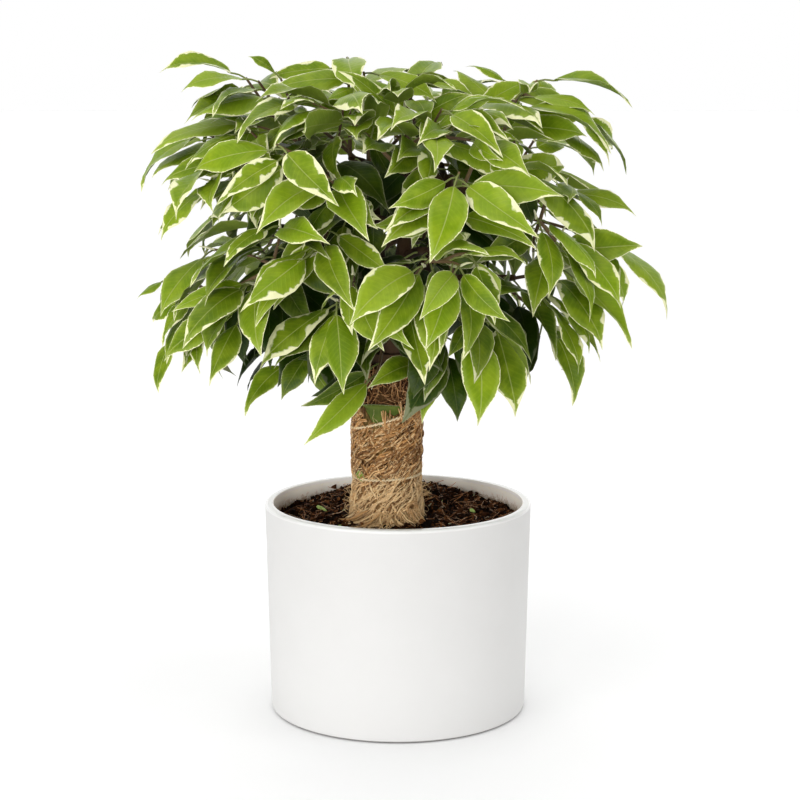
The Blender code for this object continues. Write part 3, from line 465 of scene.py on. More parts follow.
# Stage
FLOOR_REACH = 12.0
SKY_FRONT = 0.08
SKY_BACK = 1.8
SKY_TOP = 1.48
SKY_BEHIND = (0.45, 0.95)
SKY_OVERHEAD = (0.35, 1.0)
SHINE_FRONT = 0.05
SHINE_BACK = 1.6
SHINE_TOP = 1.1
SHINE_OVERHEAD = (0.45, 1.0)
SHINE_LEAN = (0.35, 0.2)
KEY_PLACE = Vector((-1.19, -1.52, 0.54))
KEY_SIZE = 1.2
KEY_POWER = 12.8
FILL_PLACE = Vector((1.86, -0.50, 0.56))
FILL_SIZE = 0.8
FILL_POWER = 4.9
FRONT_PLACE = Vector((-0.40, -2.20, 0.50))
FRONT_SIZE = 0.5
FRONT_POWER = 9.5
FLOOR_GLOW = 0.16
CAMERA_PLACE = Vector((1.1 * MM, -1085.4 * MM, 355.5 * MM))
CAMERA_LENS = 91.3
CAMERA_PITCH = 0.1687


def around(axis, radius, angle, height):
    return Vector((axis.x + radius * math.cos(angle), axis.y + radius * math.sin(angle), height))


def arc(centre, radius, start, end, count):
    """Points of a round corner in a turned profile, as (radius, height)."""
    steps = [start + (end - start) * i / (count - 1) for i in range(count)]
    return [(centre[0] + radius * math.cos(a), centre[1] + radius * math.sin(a)) for a in steps]


def pot_inner_radius(height):
    """The pot's wall leans out a little from its base to its rim."""
    lean = (POT_RADIUS - POT_BASE_RADIUS) * height / POT_HEIGHT
    return POT_BASE_RADIUS + lean - POT_WALL


def soil_height(x, y):
    """The soil heaps up a little round the trunk, and is lumpy all over."""
    away = math.hypot(x - TRUNK_AXIS.x, y - TRUNK_AXIS.y) / POT_RADIUS
    wide_x, wide_y, fine_x, fine_y = SOIL_WAVES
    wide = math.sin(x * wide_x + 1.3) * math.cos(y * wide_y - 0.4)
    fine = math.sin(x * fine_x - y * fine_y)
    return SOIL_LEVEL + SOIL_MOUND * (1.0 - away) + SOIL_LUMPS * (wide + 0.5 * fine)


def wrap_radius(height):
    """The wrapping is drawn in at its waist by the lower tie, and flares where it enters the soil."""
    flare = WRAP_FLARE * max(0.0, (WAIST_HEIGHT - height) / (WAIST_HEIGHT - WRAP_FOOT)) ** 1.5
    waist = WRAP_WAIST * math.exp(-((height - WAIST_HEIGHT) / WAIST_LENGTH) ** 2)
    return WRAP_RADIUS + flare - waist


# Node trees

class Value:
    """A socket of a node tree: Python's own operators on it add Math nodes."""

    def __init__(self, sheet, socket):
        self.sheet = sheet
        self.socket = socket

    def math(self, operation, first, second=0.0):
        return self.sheet.node("ShaderNodeMath", {"operation": operation}, {0: first, 1: second})

    def __add__(self, other):
        return self.math("ADD", self, other)

    def __radd__(self, other):
        return self.math("ADD", other, self)

    def __sub__(self, other):
        return self.math("SUBTRACT", self, other)

    def __rsub__(self, other):
        return self.math("SUBTRACT", other, self)

    def __mul__(self, other):
        return self.math("MULTIPLY", self, other)

    def __rmul__(self, other):
        return self.math("MULTIPLY", other, self)

    def __truediv__(self, other):
        return self.math("DIVIDE", self, other)

    def __pow__(self, other):
        return self.math("POWER", self, other)

    def __abs__(self):
        return self.math("ABSOLUTE", self)

    def __gt__(self, other):
        return self.math("GREATER_THAN", self, other)

    def cosine(self):
        return self.math("COSINE", self)

    def either(self, other):
        return self.math("MAXIMUM", self, other)


class Sheet:
    """A node tree, written one node at a time."""

    def __init__(self, tree):
        self.tree = tree

    def feed(self, made, inputs):
        for name, value in inputs.items():
            if isinstance(value, Value):
                self.tree.links.new(value.socket, made.inputs[name])
            else:
                made.inputs[name].default_value = value

    def node(self, kind, settings=None, inputs=None, output=0):
        made = self.tree.nodes.new(kind)
        for name, value in (settings or {}).items():
            setattr(made, name, value)
        self.feed(made, inputs or {})
        return Value(self, made.outputs[output])

    def parts(self, vector):
        made = self.node("ShaderNodeSeparateXYZ", inputs={0: vector}).socket.node
        return [Value(self, socket) for socket in made.outputs]

    def joined(self, x, y, z):
        return self.node("ShaderNodeCombineXYZ", inputs={0: x, 1: y, 2: z})

    def mix(self, share, first, second):
        """A colour between two, each a Value or three numbers."""
        colours = [value if isinstance(value, Value) else (*value, 1.0) for value in (first, second)]
        inputs = {0: share, 6: colours[0], 7: colours[1]}
        return self.node("ShaderNodeMix", {"data_type": "RGBA"}, inputs, 2)

    def ease(self, value, low, high):
        """From 0 at the low value to 1 at the high one."""
        inputs = {"Value": value, "From Min": low, "From Max": high}
        return self.node("ShaderNodeMapRange", {"interpolation_type": "SMOOTHSTEP"}, inputs)

    def noise(self, vector, scale, detail=2.0, roughness=0.5):
        inputs = {"Vector": vector, "Scale": scale, "Detail": detail, "Roughness": roughness}
        return self.node("ShaderNodeTexNoise", inputs=inputs)

    def stretched(self, vector, factors):
        return self.node("ShaderNodeVectorMath", {"operation": "MULTIPLY"}, {0: vector, 1: factors})

    def place(self):
        """Object coordinates."""
        return self.node("ShaderNodeTexCoord", output="Object")

    def attribute(self, name):
        return self.node("ShaderNodeAttribute", {"attribute_name": name}, output="Vector")

    def bump(self, height, distance, strength=1.0):
        inputs = {"Height": height, "Distance": distance, "Strength": strength}
        return self.node("ShaderNodeBump", inputs=inputs)


def surface(name, paint):
    """A material whose Principled shader gets what the paint function returns."""
    made = bpy.data.materials.new(name)
    made.use_nodes = True
    sheet = Sheet(made.node_tree)
    sheet.feed(made.node_tree.nodes["Principled BSDF"], paint(sheet))
    return made


# Finishes

def paint_leaf(sheet):
    """Green with a thin toothed cream margin, cream blotches, a pale midrib and a paler underside, and painted
    shade that darkens leaves of low tone.
    """
    across, along, _ = sheet.parts(sheet.node("ShaderNodeUVMap", {"uv_map": "blade"}))
    to_margin, to_midrib, _ = sheet.parts(sheet.node("ShaderNodeUVMap", {"uv_map": "reach"}))
    tone, patchy, fate = sheet.parts(sheet.attribute("fate"))
    under = across > 0.5
    across = across - 0.5 * under
    side = across > 0.25
    spot = sheet.joined(across * 2.0, along * 2.2, fate * 40.0)
    teeth = sheet.noise(sheet.joined(side * 7.0, along * 30.0, fate * 40.0), 1.0, 2.0)
    clouds = sheet.noise(spot, 2.2, 1.5)
    grain = sheet.noise(spot, 9.0, 3.0)
    veins = (0.5 + 0.5 * (math.tau * VEIN_PAIRS * (along - to_midrib * VEIN_SLANT)).cosine()) ** 5.0

    # The tone is partly painted shade: low tones give deeper green
    green = sheet.mix(tone, DEEP_GREEN, FRESH_GREEN)
    green = sheet.mix(sheet.ease(clouds, 0.35, 0.70) * 0.45, green, LIME_GREEN)
    green = sheet.mix(sheet.ease(fate, 0.5, 1.0) * 0.3 * tone, green, LIME_GREEN)
    green = sheet.mix(0.30 * grain, green, DARK_GREEN)
    green = sheet.mix(veins * 0.12, green, LIME_GREEN)
    lighter = 1.0 - sheet.ease(to_margin, 0.012, 0.075)
    green = sheet.mix(lighter * 0.40, green, PALE_GREEN)
    green = sheet.mix(sheet.ease(tone, 1.0, 1.6), green, YOUNG_GREEN)
    stretch = sheet.noise(sheet.joined(side * 9.0, along * 4.0, fate * 40.0), 1.0, 2.5)
    patch = patchy ** 2.5 * (stretch - 0.47).either(0.0) * 0.66
    border = MARGIN + MARGIN_TOOTH * (teeth - 0.46).either(0.0) + patch * (0.55 + 0.9 * grain)
    margin = 1.0 - sheet.ease(to_margin, border * 0.75, border * 1.25)
    creamy = sheet.mix(grain, CREAM, PALE_CREAM)
    colour = sheet.mix(margin, green, creamy)
    tip = sheet.ease(along, 0.90, 1.0) * 0.55
    colour = sheet.mix(tip, colour, creamy)
    midrib = 1.0 - sheet.ease(to_midrib, *MIDRIB_EDGES)
    colour = sheet.mix(midrib * (0.75 - 0.35 * along), colour, RIB_GREEN)
    pale = sheet.mix(0.45, colour, UNDERSIDE)
    colour = sheet.mix(under, colour, pale)
    # Painted shade: leaves of low tone are mixed towards dark green
    colour = sheet.mix(0.92 - 0.92 * sheet.ease(tone, 0.0, 0.6), colour, DARK_GREEN)
    height = veins * 0.28 - midrib * 0.9 * (1.0 - 2.0 * under) + grain * 0.5
    return {
        "Base Color": colour,
        "Roughness": 0.28 + 0.16 * grain + 0.2 * under,
        "Specular IOR Level": LEAF_SHINE,
        "Normal": sheet.bump(height, 0.25 * MM, 0.6),
    }


def paint_stalk(sheet):
    """Young green stalks, each a little browner or greener, and pale sheaths."""
    grain = sheet.noise(sheet.place(), 900.0, 2.0)
    tone, sheath, _ = sheet.parts(sheet.attribute("fate"))
    fresh, dull, brown = STALK_TINTS
    colour = sheet.mix(tone * 0.7, fresh, dull)
    colour = sheet.mix(sheath, colour, PALE_CREAM)
    colour = sheet.mix(grain * 0.4, colour, brown)
    return {"Base Color": colour, "Roughness": 0.45 + 0.15 * grain}


def paint_twig(sheet):
    """Thin reddish-brown bark, each twig of its own tone, with pale flecks."""
    place = sheet.place()
    tone, _, _ = sheet.parts(sheet.attribute("fate"))
    grain = sheet.noise(place, 700.0, 3.0, 0.6)
    dark, light, pale = TWIG_BARK
    colour = sheet.mix(tone, dark, light)
    colour = sheet.mix(sheet.ease(grain, 0.58, 0.72) * 0.5, colour, pale)
    return {"Base Color": colour, "Roughness": 0.55 + 0.2 * grain, "Normal": sheet.bump(grain, 0.2 * MM, 0.4)}


def paint_bark(sheet):
    """Dark reddish-brown bark, with pale pores and rings."""
    place = sheet.place()
    grain = sheet.noise(place, 420.0, 4.0, 0.65)
    patches = sheet.noise(place, 90.0, 3.0)
    dark, light, pale = FIG_BARK
    colour = sheet.mix(sheet.ease(patches, 0.35, 0.65), dark, light)
    colour = sheet.mix(sheet.ease(grain, 0.62, 0.74) * 0.4, colour, pale)
    height = grain + 0.4 * patches
    return {
        "Base Color": colour,
        "Roughness": 0.62 + 0.2 * grain,
        "Specular IOR Level": 0.2,
        "Normal": sheet.bump(height, 0.4 * MM, 0.5),
    }


def paint_fibre(dark, light, pale):
    """A paint for fibres, each of its own tone, paler in places along its length."""
    def paint(sheet):
        tone, low, fate = sheet.parts(sheet.attribute("fate"))
        grain = sheet.noise(sheet.place(), 700.0, 2.0)
        colour = sheet.mix(tone, dark, light)
        # The low share adds paleness low on the trunk: partly the straw's own colour, partly painted light
        colour = sheet.mix(sheet.ease(grain + 0.25 * fate, 0.60, 0.85) * 0.6 + 0.9 * low, colour, pale)
        return {"Base Color": colour, "Roughness": 0.55 + 0.2 * grain, "Specular IOR Level": 0.3}
    return paint


def paint_backing(dark, light, greenish):
    """The felt under the fibres: dark streaks of painted shade in the gaps, between short lighter streaks, and
    paler low on the trunk.
    """
    def paint(sheet):
        place = sheet.place()
        streaks = sheet.noise(sheet.stretched(place, (1.0, 1.0, 0.45)), 520.0, 4.0, 0.7)
        patches = sheet.noise(place, 60.0, 2.0)
        # Painted shade: the dark streaks stand for the shade in the gaps between the fibres
        colour = sheet.mix(sheet.ease(streaks, 0.42, 0.72), dark, light)
        colour = sheet.mix(sheet.ease(patches, 0.52, 0.66) * 0.45, colour, greenish)
        # Paler low on the trunk: partly the straw's own colour, partly painted light
        low = 1.0 - sheet.ease(sheet.parts(place)[2], PALE_HEIGHT - PALE_LENGTH, PALE_HEIGHT)
        colour = sheet.mix(low * 0.28, colour, PALE_AND_LIT_BACKING)
        return {
            "Base Color": colour,
            "Roughness": 0.9,
            "Specular IOR Level": 0.1,
            "Normal": sheet.bump(streaks, 1.2 * MM),
        }
    return paint


def paint_twine(sheet):
    """Pale twine with a two-ply twist."""
    place = sheet.place()
    grain = sheet.noise(place, 900.0, 3.0, 0.6)
    colour = sheet.mix(grain, *TWINE)
    return {
        "Base Color": colour,
        "Roughness": 0.85,
        "Specular IOR Level": 0.2,
        "Normal": sheet.bump(grain, 0.3 * MM, 0.6),
    }


def paint_soil(sheet):
    """Dark moist potting mix, from near black to reddish brown."""
    place = sheet.place()
    fine = sheet.noise(place, 900.0, 4.0, 0.7)
    coarse = sheet.noise(place, 160.0, 3.0)
    tone, _, _ = sheet.parts(sheet.attribute("fate"))
    colour = sheet.mix(sheet.ease(coarse + 0.5 * tone, 0.45, 1.0), SOIL_DARK, SOIL_LIGHT)
    colour = sheet.mix(sheet.ease(fine, 0.60, 0.74) * sheet.ease(tone, 0.0, 0.3) * 0.6, colour, SOIL_RUST)
    colour = sheet.mix(sheet.ease(tone, 0.80, 0.98) * 0.6, colour, SOIL_RUST)
    height = fine + 1.5 * coarse
    return {
        "Base Color": colour,
        "Roughness": 0.75 + 0.2 * fine,
        "Specular IOR Level": 0.05,
        "Normal": sheet.bump(height, 0.8 * MM, 0.9),
    }


def paint_scrap(sheet):
    """Cut bits of pale green stem and grit, each of its own tone."""
    tone, _, _ = sheet.parts(sheet.attribute("fate"))
    grain = sheet.noise(sheet.place(), 800.0, 2.0)
    green, grit, brown = SCRAP_TINTS
    colour = sheet.mix(tone, green, grit)
    colour = sheet.mix(0.4 * grain, colour, brown)
    return {"Base Color": colour, "Roughness": 0.6 + 0.2 * grain}


def paint_pot(sheet):
    """Satin white, faintly uneven and painted whiter towards its foot, dusted with soil inside above the soil
    line.

    Painted light: the lower wall and the lip's top are painted whiter, the inside is painted whiter than the
    outside and glows near its rim, and the foot has a painted shadow.
    """
    place = sheet.place()
    x, y, z = sheet.parts(place)
    mottle = sheet.noise(place, 38.0, 4.0, 0.6)
    fine = sheet.noise(place, 260.0, 3.0)
    radius = (x * x + y * y) ** 0.5
    wall = POT_RADIUS - POT_WALL
    inside = 1.0 - sheet.ease(radius, wall + 0.1 * MM, wall + 0.9 * MM)
    low = 1.0 - sheet.ease(z, POT_HEIGHT - 9.0 * MM, POT_HEIGHT - 3.5 * MM)
    specks = sheet.ease(sheet.noise(place, 420.0, 4.0, 0.7) + 0.22 * low, 0.56, 0.74)
    colour = sheet.mix(mottle, POT_WHITE, POT_SHADE)
    # Painted light: the lower wall is painted whiter, where light from the floor falls on it
    rise = 1.0 - sheet.ease(z, 10.0 * MM, 100.0 * MM)
    colour = sheet.mix(rise * 0.26, colour, PAINTED_LIGHT_WHITE)
    # Painted light: the inside is painted whiter than the outside glaze, with real specks of soil over it
    dust_and_light = sheet.mix(specks * (0.35 + 0.65 * low), LIT_INNER_WHITE, INNER_DUST)
    colour = sheet.mix(inside, colour, dust_and_light)
    # Painted highlight: the lip's top is painted near white, in place of its reflection of the bright backdrop
    lip = sheet.ease(z, POT_HEIGHT - 2.2 * MM, POT_HEIGHT - 0.6 * MM)
    colour = sheet.mix(lip, colour, PAINTED_LIGHT_WHITE)
    foot = 1.0 - sheet.ease(z, 0.6 * MM, 1.5 * MM)
    colour = sheet.mix(foot * 0.9, colour, FOOT_SHADOW)
    # Painted light: the inside glows near the rim, though nothing there gives light
    glow = inside * sheet.ease(z, POT_HEIGHT - 9.0 * MM, POT_HEIGHT - 1.0 * MM)
    height = mottle + 0.15 * fine
    return {
        "Base Color": colour,
        "Emission Color": sheet.mix(glow, BLACK, INNER_GLOW),
        "Emission Strength": 1.0,
        "Roughness": (0.40 + 0.16 * mottle + 0.25 * inside) * (1.0 - 0.65 * lip),
        "Normal": sheet.bump(height, 0.5 * MM, 0.35),
    }


def paint_floor(sheet):
    """A plain pale floor, with a painted shadow that makes it a little darker close to the pot."""
    place = sheet.place()
    x, y, _ = sheet.parts(place)
    colour = sheet.mix(sheet.noise(place, 14.0, 2.0), FLOOR_WHITE, FLOOR_SHADE)
    # Painted shadow: the floor darkens towards the pot's foot
    near = 1.0 - sheet.ease((x * x + y * y) ** 0.5, POT_BASE_RADIUS - 8.0 * MM, POT_BASE_RADIUS + 42.0 * MM)
    colour = sheet.mix(near * 0.07, colour, BLACK)
    return {"Base Color": colour, "Emission Color": colour, "Roughness": 0.9, "Specular IOR Level": 0.1}


# Geometry Nodes

def geometry_tree(name, inputs):
    """A geometry tree with named inputs: the tree, its sheet and its inputs as values."""
    tree = bpy.data.node_groups.new(name, "GeometryNodeTree")
    tree.interface.new_socket("Geometry", in_out="INPUT", socket_type="NodeSocketGeometry")
    for label, kind in inputs:
        tree.interface.new_socket(label, in_out="INPUT", socket_type=kind)
    tree.interface.new_socket("Geometry", in_out="OUTPUT", socket_type="NodeSocketGeometry")
    sheet = Sheet(tree)
    start = tree.nodes.new("NodeGroupInput")
    given = {socket.name: Value(sheet, socket) for socket in start.outputs if socket.name}
    return tree, sheet, given


def named(sheet, name, data_type):
    """A named attribute of the geometry."""
    return sheet.node("GeometryNodeInputNamedAttribute", {"data_type": data_type}, {"Name": name})


def finish_tree(sheet, geometry, material):
    """Instances made real, with the material on them, at the tree's output."""
    real = sheet.node("GeometryNodeRealizeInstances", inputs={0: geometry})
    dressed = sheet.node("GeometryNodeSetMaterial", inputs={"Geometry": real, "Material": material})
    end = sheet.tree.nodes.new("NodeGroupOutput")
    sheet.feed(end, {0: dressed})


def scatter_tree():
    """One of a collection's shapes at every point, turned, sized and chosen by the point's attributes."""
    inputs = (("Kinds", "NodeSocketCollection"), ("Material", "NodeSocketMaterial"))
    tree, sheet, given = geometry_tree("scatter", inputs)
    inputs = {"Collection": given["Kinds"], "Separate Children": True, "Reset Children": True}
    kinds = sheet.node("GeometryNodeCollectionInfo", {"transform_space": "ORIGINAL"}, inputs)
    inputs = {
        "Points": given["Geometry"],
        "Instance": kinds,
        "Pick Instance": True,
        "Instance Index": named(sheet, "kind", "INT"),
        "Rotation": named(sheet, "turn", "QUATERNION"),
        "Scale": named(sheet, "size", "FLOAT_VECTOR"),
    }
    placed = sheet.node("GeometryNodeInstanceOnPoints", inputs=inputs)
    finish_tree(sheet, placed, given["Material"])
    return tree


def rod_tree():
    """Round bars on smooth lines through chains of points, each as thick as its point's attribute says."""
    inputs = (("Sides", "NodeSocketInt"), ("Steps", "NodeSocketInt"), ("Material", "NodeSocketMaterial"))
    tree, sheet, given = geometry_tree("rods", inputs)
    lines = sheet.node("GeometryNodeMeshToCurve", inputs={0: given["Geometry"]})
    smooth = sheet.node("GeometryNodeCurveSplineType", {"spline_type": "CATMULL_ROM"}, {0: lines})
    inputs = {"Geometry": smooth, "Resolution": given["Steps"]}
    fine = sheet.node("GeometryNodeSetSplineResolution", inputs=inputs)
    inputs = {"Resolution": given["Sides"], "Radius": 1.0}
    ring = sheet.node("GeometryNodeCurvePrimitiveCircle", inputs=inputs)
    thickness = named(sheet, "thickness", "FLOAT")
    inputs = {"Curve": fine, "Profile Curve": ring, "Scale": thickness, "Fill Caps": True}
    bars = sheet.node("GeometryNodeCurveToMesh", inputs=inputs)
    finish_tree(sheet, bars, given["Material"])
    return tree


def shown(name, mesh, finish=None):
    """A mesh as an object of the scene, with its finish."""
    obj = bpy.data.objects.new(name, mesh)
    bpy.context.scene.collection.objects.link(obj)
    if finish:
        mesh.materials.append(finish)
    return obj


def grown(name, mesh, tree, inputs):
    """The plain mesh object that a geometry tree makes of a mesh."""
    seedling = shown(name + "_seedling", mesh)
    change = seedling.modifiers.new("Grow", "NODES")
    change.node_group = tree
    for socket in tree.interface.items_tree:
        if socket.name in inputs:
            change[socket.identifier] = inputs[socket.name]
    bpy.context.view_layer.update()
    result = bpy.data.meshes.new_from_object(seedling.evaluated_get(bpy.context.evaluated_depsgraph_get()))
    bpy.data.objects.remove(seedling, do_unlink=True)
    return shown(name, result)


def write_attribute(mesh, name, kind, values):
    field = "vector" if kind == "FLOAT_VECTOR" else "value"
    attribute = mesh.attributes.new(name, kind, "POINT")
    for item, value in zip(attribute.data, values):
        setattr(item, field, value)


@dataclass
class Spot:
    """A place for one repeated shape."""

    point: Vector
    turn: Matrix
    size: tuple
    kind: int
    fate: tuple


def scattered(name, spots, kinds, finish, tree):
    """One mesh of a shape at every spot."""
    mesh = bpy.data.meshes.new(name + "_spots")
    mesh.from_pydata([spot.point for spot in spots], [], [])
    write_attribute(mesh, "turn", "QUATERNION", [spot.turn.to_quaternion() for spot in spots])
    write_attribute(mesh, "size", "FLOAT_VECTOR", [spot.size for spot in spots])
    write_attribute(mesh, "kind", "INT", [spot.kind for spot in spots])
    write_attribute(mesh, "fate", "FLOAT_VECTOR", [spot.fate for spot in spots])
    return grown(name, mesh, tree, {"Kinds": kinds, "Material": finish})


@dataclass
class Strand:
    """A round bar through points, each with its own thickness."""

    points: list
    radii: list
    fate: tuple


def even_strand(points, thickness, fate):
    return Strand(points, [thickness] * len(points), fate)


def own_fate(draw, middle=0.0):
    """Two numbers of a piece's own, round one that is given."""
    first = draw.random()
    return first, middle, draw.random()


def loose_fate(draw):
    return draw.random(), draw.random(), draw.random()


def any_way(draw):
    return Vector((draw.gauss(0, 1), draw.gauss(0, 1), draw.gauss(0, 1)))


def any_shift(draw):
    return Vector((draw.uniform(-1, 1), draw.uniform(-1, 1), draw.uniform(-1, 1)))


def rods(name, strands, sides, steps, finish, tree):
    """One mesh of bars along the strands."""
    points = []
    edges = []
    radii = []
    fates = []
    for strand in strands:
        first = len(points)
        points += strand.points
        radii += strand.radii
        fates += [strand.fate] * len(strand.points)
        edges += [(i, i + 1) for i in range(first, len(points) - 1)]
    mesh = bpy.data.meshes.new(name + "_lines")
    mesh.from_pydata(points, edges, [])
    write_attribute(mesh, "thickness", "FLOAT", radii)
    write_attribute(mesh, "fate", "FLOAT_VECTOR", fates)
    obj = grown(name, mesh, tree, {"Sides": sides, "Steps": steps, "Material": finish})
    obj.data.shade_smooth()
    return obj


def kinds_of(name, meshes):
    """Shapes for the scatter tree to choose from, in the order given."""
    group = bpy.data.collections.new(name)
    for i, mesh in enumerate(meshes):
        group.objects.link(bpy.data.objects.new(f"{name}_{i:02d}", mesh))
    return group


def clear_kinds(group):
    for obj in list(group.objects):
        bpy.data.objects.remove(obj, do_unlink=True)
    bpy.data.collections.remove(group)


# Crown: places and directions

@dataclass
class Leaf:
    """A leaf: its stalk's root, its blade's line from foot to tip, its upper side, and how odd it is."""

    root: Vector
    heading: Vector
    normal: Vector
    length: float
    arch: float
    stalk: float = STALK
    change: tuple = (1.0, 1.0, 0.0)

    def foot(self):
        """The blade's foot, at the end of a stalk that lifts it off its line."""
        rise = (self.heading + STALK_LIFT * self.normal).normalized()
        return self.root + rise * self.stalk

    def spine(self, share):
        """A point of the arched midrib, and the upper side there."""
        half = self.arch / 2
        turn = self.arch * share - half
        along = (math.sin(turn) + math.sin(half)) / (2 * math.sin(half))
        lift = (math.cos(turn) - math.cos(half)) / (2 * math.sin(half))
        point = self.foot() + self.heading * (along * self.length) + self.normal * (lift * self.length)
        return point, self.normal * math.cos(turn) + self.heading * math.sin(turn)

    def tip(self):
        return self.foot() + self.heading * self.length


@dataclass
class Twig:
    """A bent twig: its points, its radii, and the shoot that it belongs to."""

    points: list
    radii: list
    shoot: int

    def at(self, share):
        """The point, the direction and the radius at a share of the twig's length."""
        place = share * (len(self.points) - 1)
        i = min(int(place), len(self.points) - 2)
        rest = place - i
        line = self.points[i + 1] - self.points[i]
        radius = self.radii[i] + (self.radii[i + 1] - self.radii[i]) * rest
        return self.points[i] + line * rest, line.normalized(), radius

    def length(self):
        return sum((b - a).length for a, b in zip(self.points, self.points[1:]))


def dome(direction):
    """The point of the crown's surface that lies in a direction from its centre."""
    height = CROWN_RISE if direction.z > 0 else CROWN_DROP
    level = sum(abs(value / size) ** CROWN_SQUARENESS for value, size in
                zip(direction, (CROWN_REACH, CROWN_REACH, height)))
    return CROWN_CENTRE + direction * level ** (-1 / CROWN_SQUARENESS)


def inside_dome(point, slack=1.03):
    offset = point - CROWN_CENTRE
    return offset.length <= (dome(offset.normalized()) - CROWN_CENTRE).length * slack


def even_directions(count, lowest):
    """Directions spread evenly from straight up down to the lowest polar angle."""
    for i in range(count):
        rise = 1.0 - (1.0 - math.cos(lowest)) * (i + 0.5) / count
        flat = math.sqrt(1.0 - rise * rise)
        angle = i * GOLDEN_ANGLE
        yield Vector((flat * math.cos(angle), flat * math.sin(angle), rise))


def seen(across, height, depth):
    """The point at a depth that appears, from the eye, at a place of the upright plane through the origin."""
    target = Vector((across * MM, 0.0, height * MM))
    return EYE + (target - EYE) * ((depth * MM - EYE.y) / -EYE.y)


def outward(point):
    """Away from the middle of the crown, mostly level."""
    offset = point - CROWN_CENTRE
    return Vector((offset.x, offset.y, 0.35 * offset.z)).normalized()


def droop_at(height):
    """Leaves lie nearly level at the top of the crown and hang at its hem."""
    share = (height - CROWN_HEM) / (CROWN_CENTRE.z + CROWN_RISE - CROWN_HEM)
    return 1.35 - 1.15 * min(1.0, max(0.0, share))


def upper_side(point, heading, roll=0.0, frontal=0.2):
    """A leaf's upper side faces up and outward, square to its heading."""
    facing = 0.7 * UP + 0.75 * outward(point) + frontal * FRONT
    normal = (facing - heading * facing.dot(heading)).normalized()
    return Matrix.Rotation(roll, 3, heading) @ normal


def leaf_to(foot, tip, draw, frontal=0.0):
    """A leaf whose blade runs from foot to tip."""
    line = tip - foot
    heading = line.normalized()
    normal = upper_side(foot, heading, draw.uniform(-0.15, 0.15), frontal)
    rise = (heading + STALK_LIFT * normal).normalized()
    stalk = min(STALK, 0.3 * line.length)
    return Leaf(foot - rise * stalk, heading, normal, line.length, LEAF_ARCH * draw.uniform(0.7, 1.2), stalk)


# Crown: keeping things clear of one another

def leaf_mesh(leaf, grow=0.0):
    """Three-cornered rings along stalk and blade, closed at the root and run out to the tip."""
    side = leaf.heading.cross(leaf.normal)
    points = []
    for share, width in LEAF_STATIONS:
        centre, normal = leaf.spine(share)
        half = max(width * LEAF_WIDTH * leaf.length / 2, STALK_RADIUS) + grow
        ridge = LEAF_MIDRIB * (1.0 - 0.45 * share) + grow
        points += [centre - side * half - normal * grow, centre + normal * ridge]
        points.append(centre + side * half - normal * grow)
    middle = sum(points[:3], Vector()) / 3
    points = [leaf.root + (point - middle) * STALK_TAPER for point in points[:3]] + points
    points.append(leaf.tip() + leaf.heading * grow)
    faces = [(0, 1, 2), (0, 3, 4, 1), (1, 4, 5, 2), (2, 5, 3, 0)]
    for ring in range(1, len(LEAF_STATIONS)):
        a = 3 * ring
        faces += [(a, a + 3, a + 4), (a, a + 4, a + 1), (a + 1, a + 4, a + 5), (a + 1, a + 5, a + 2)]
        faces += [(a + 2, a + 5, a + 3), (a + 2, a + 3, a)]
    last = len(points) - 1
    faces += [(last - 3, last, last - 2), (last - 2, last, last - 1), (last - 1, last, last - 3)]
    return points, faces


def blade_only(points, faces):
    """The part of a leaf past its stalk, which is all that may not touch its own twig."""
    return points, [face for face in faces if min(face) >= 3]


def bar_mesh(points, radii, grow=0.0, sides=6, skip=0):
    """A bar through the points, as wide as the flats of the real one need."""
    rings = []
    for i, point in enumerate(points):
        ahead = points[min(i + 1, len(points) - 1)] - points[max(i - 1, 0)]
        along = ahead.normalized()
        side = along.orthogonal().normalized()
        other = along.cross(side)
        radius = (radii[i] + grow) / math.cos(math.pi / sides)
        for j in range(sides):
            angle = math.tau * j / sides
            rings.append(point + side * (radius * math.cos(angle)) + other * (radius * math.sin(angle)))
    faces = []
    for i in range(skip, len(points) - 1):
        for j in range(sides):
            k = (j + 1) % sides
            faces.append((i * sides + j, i * sides + k, (i + 1) * sides + k))
            faces.append((i * sides + j, (i + 1) * sides + k, (i + 1) * sides + j))
    return rings, faces


class Taken:
    """The room that is already taken, each piece with a ball round it and its owner."""

    def __init__(self):
        self.pieces = []

    @staticmethod
    def ball(points):
        centre = sum(points, Vector()) / len(points)
        return centre, max((point - centre).length for point in points)

    def add(self, points, faces, owner):
        self.pieces.append((BVHTree.FromPolygons(points, faces), *self.ball(points), owner))

    def free(self, points, faces, owner=None):
        """True if the shape meets nothing, its owner's own piece aside."""
        centre, radius = self.ball(points)
        tree = BVHTree.FromPolygons(points, faces)
        for other, middle, reach, holder in self.pieces:
            if owner is not None and holder == owner:
                continue
            if (middle - centre).length < radius + reach and tree.overlap(other):
                return False
        return True


# Crown: limbs, twigs and leaves

def bent(start, start_pull, end_pull, end, count):
    return [Vector(point) for point in interpolate_bezier(start, start_pull, end_pull, end, count)]


def tapered(first, last, count):
    return [first + (last - first) * i / (count - 1) for i in range(count)]


def plan_leaders():
    """The leaders part at the trunk's top and lean outward."""
    leaders = []
    for i, heading in enumerate(LEADER_HEADINGS):
        flat = Vector((math.cos(heading), math.sin(heading), 0.0))
        out, sunk = LEADER_ROOT
        start = TRUNK_AXIS + flat * out + UP * (TRUNK_TOP + sunk)
        end = TRUNK_AXIS + flat * LEADER_SPREAD + UP * (LEADER_TOP + (i % 2) * LEADER_STEP)
        rise = end.z - start.z
        points = bent(start, start + UP * (rise * 0.3), end - UP * (rise * 0.35), end, LEADER_POINTS)
        leaders.append(Twig(points, tapered(LEADER_RADIUS, LEADER_TIP_RADIUS, LEADER_POINTS), i))
    return leaders


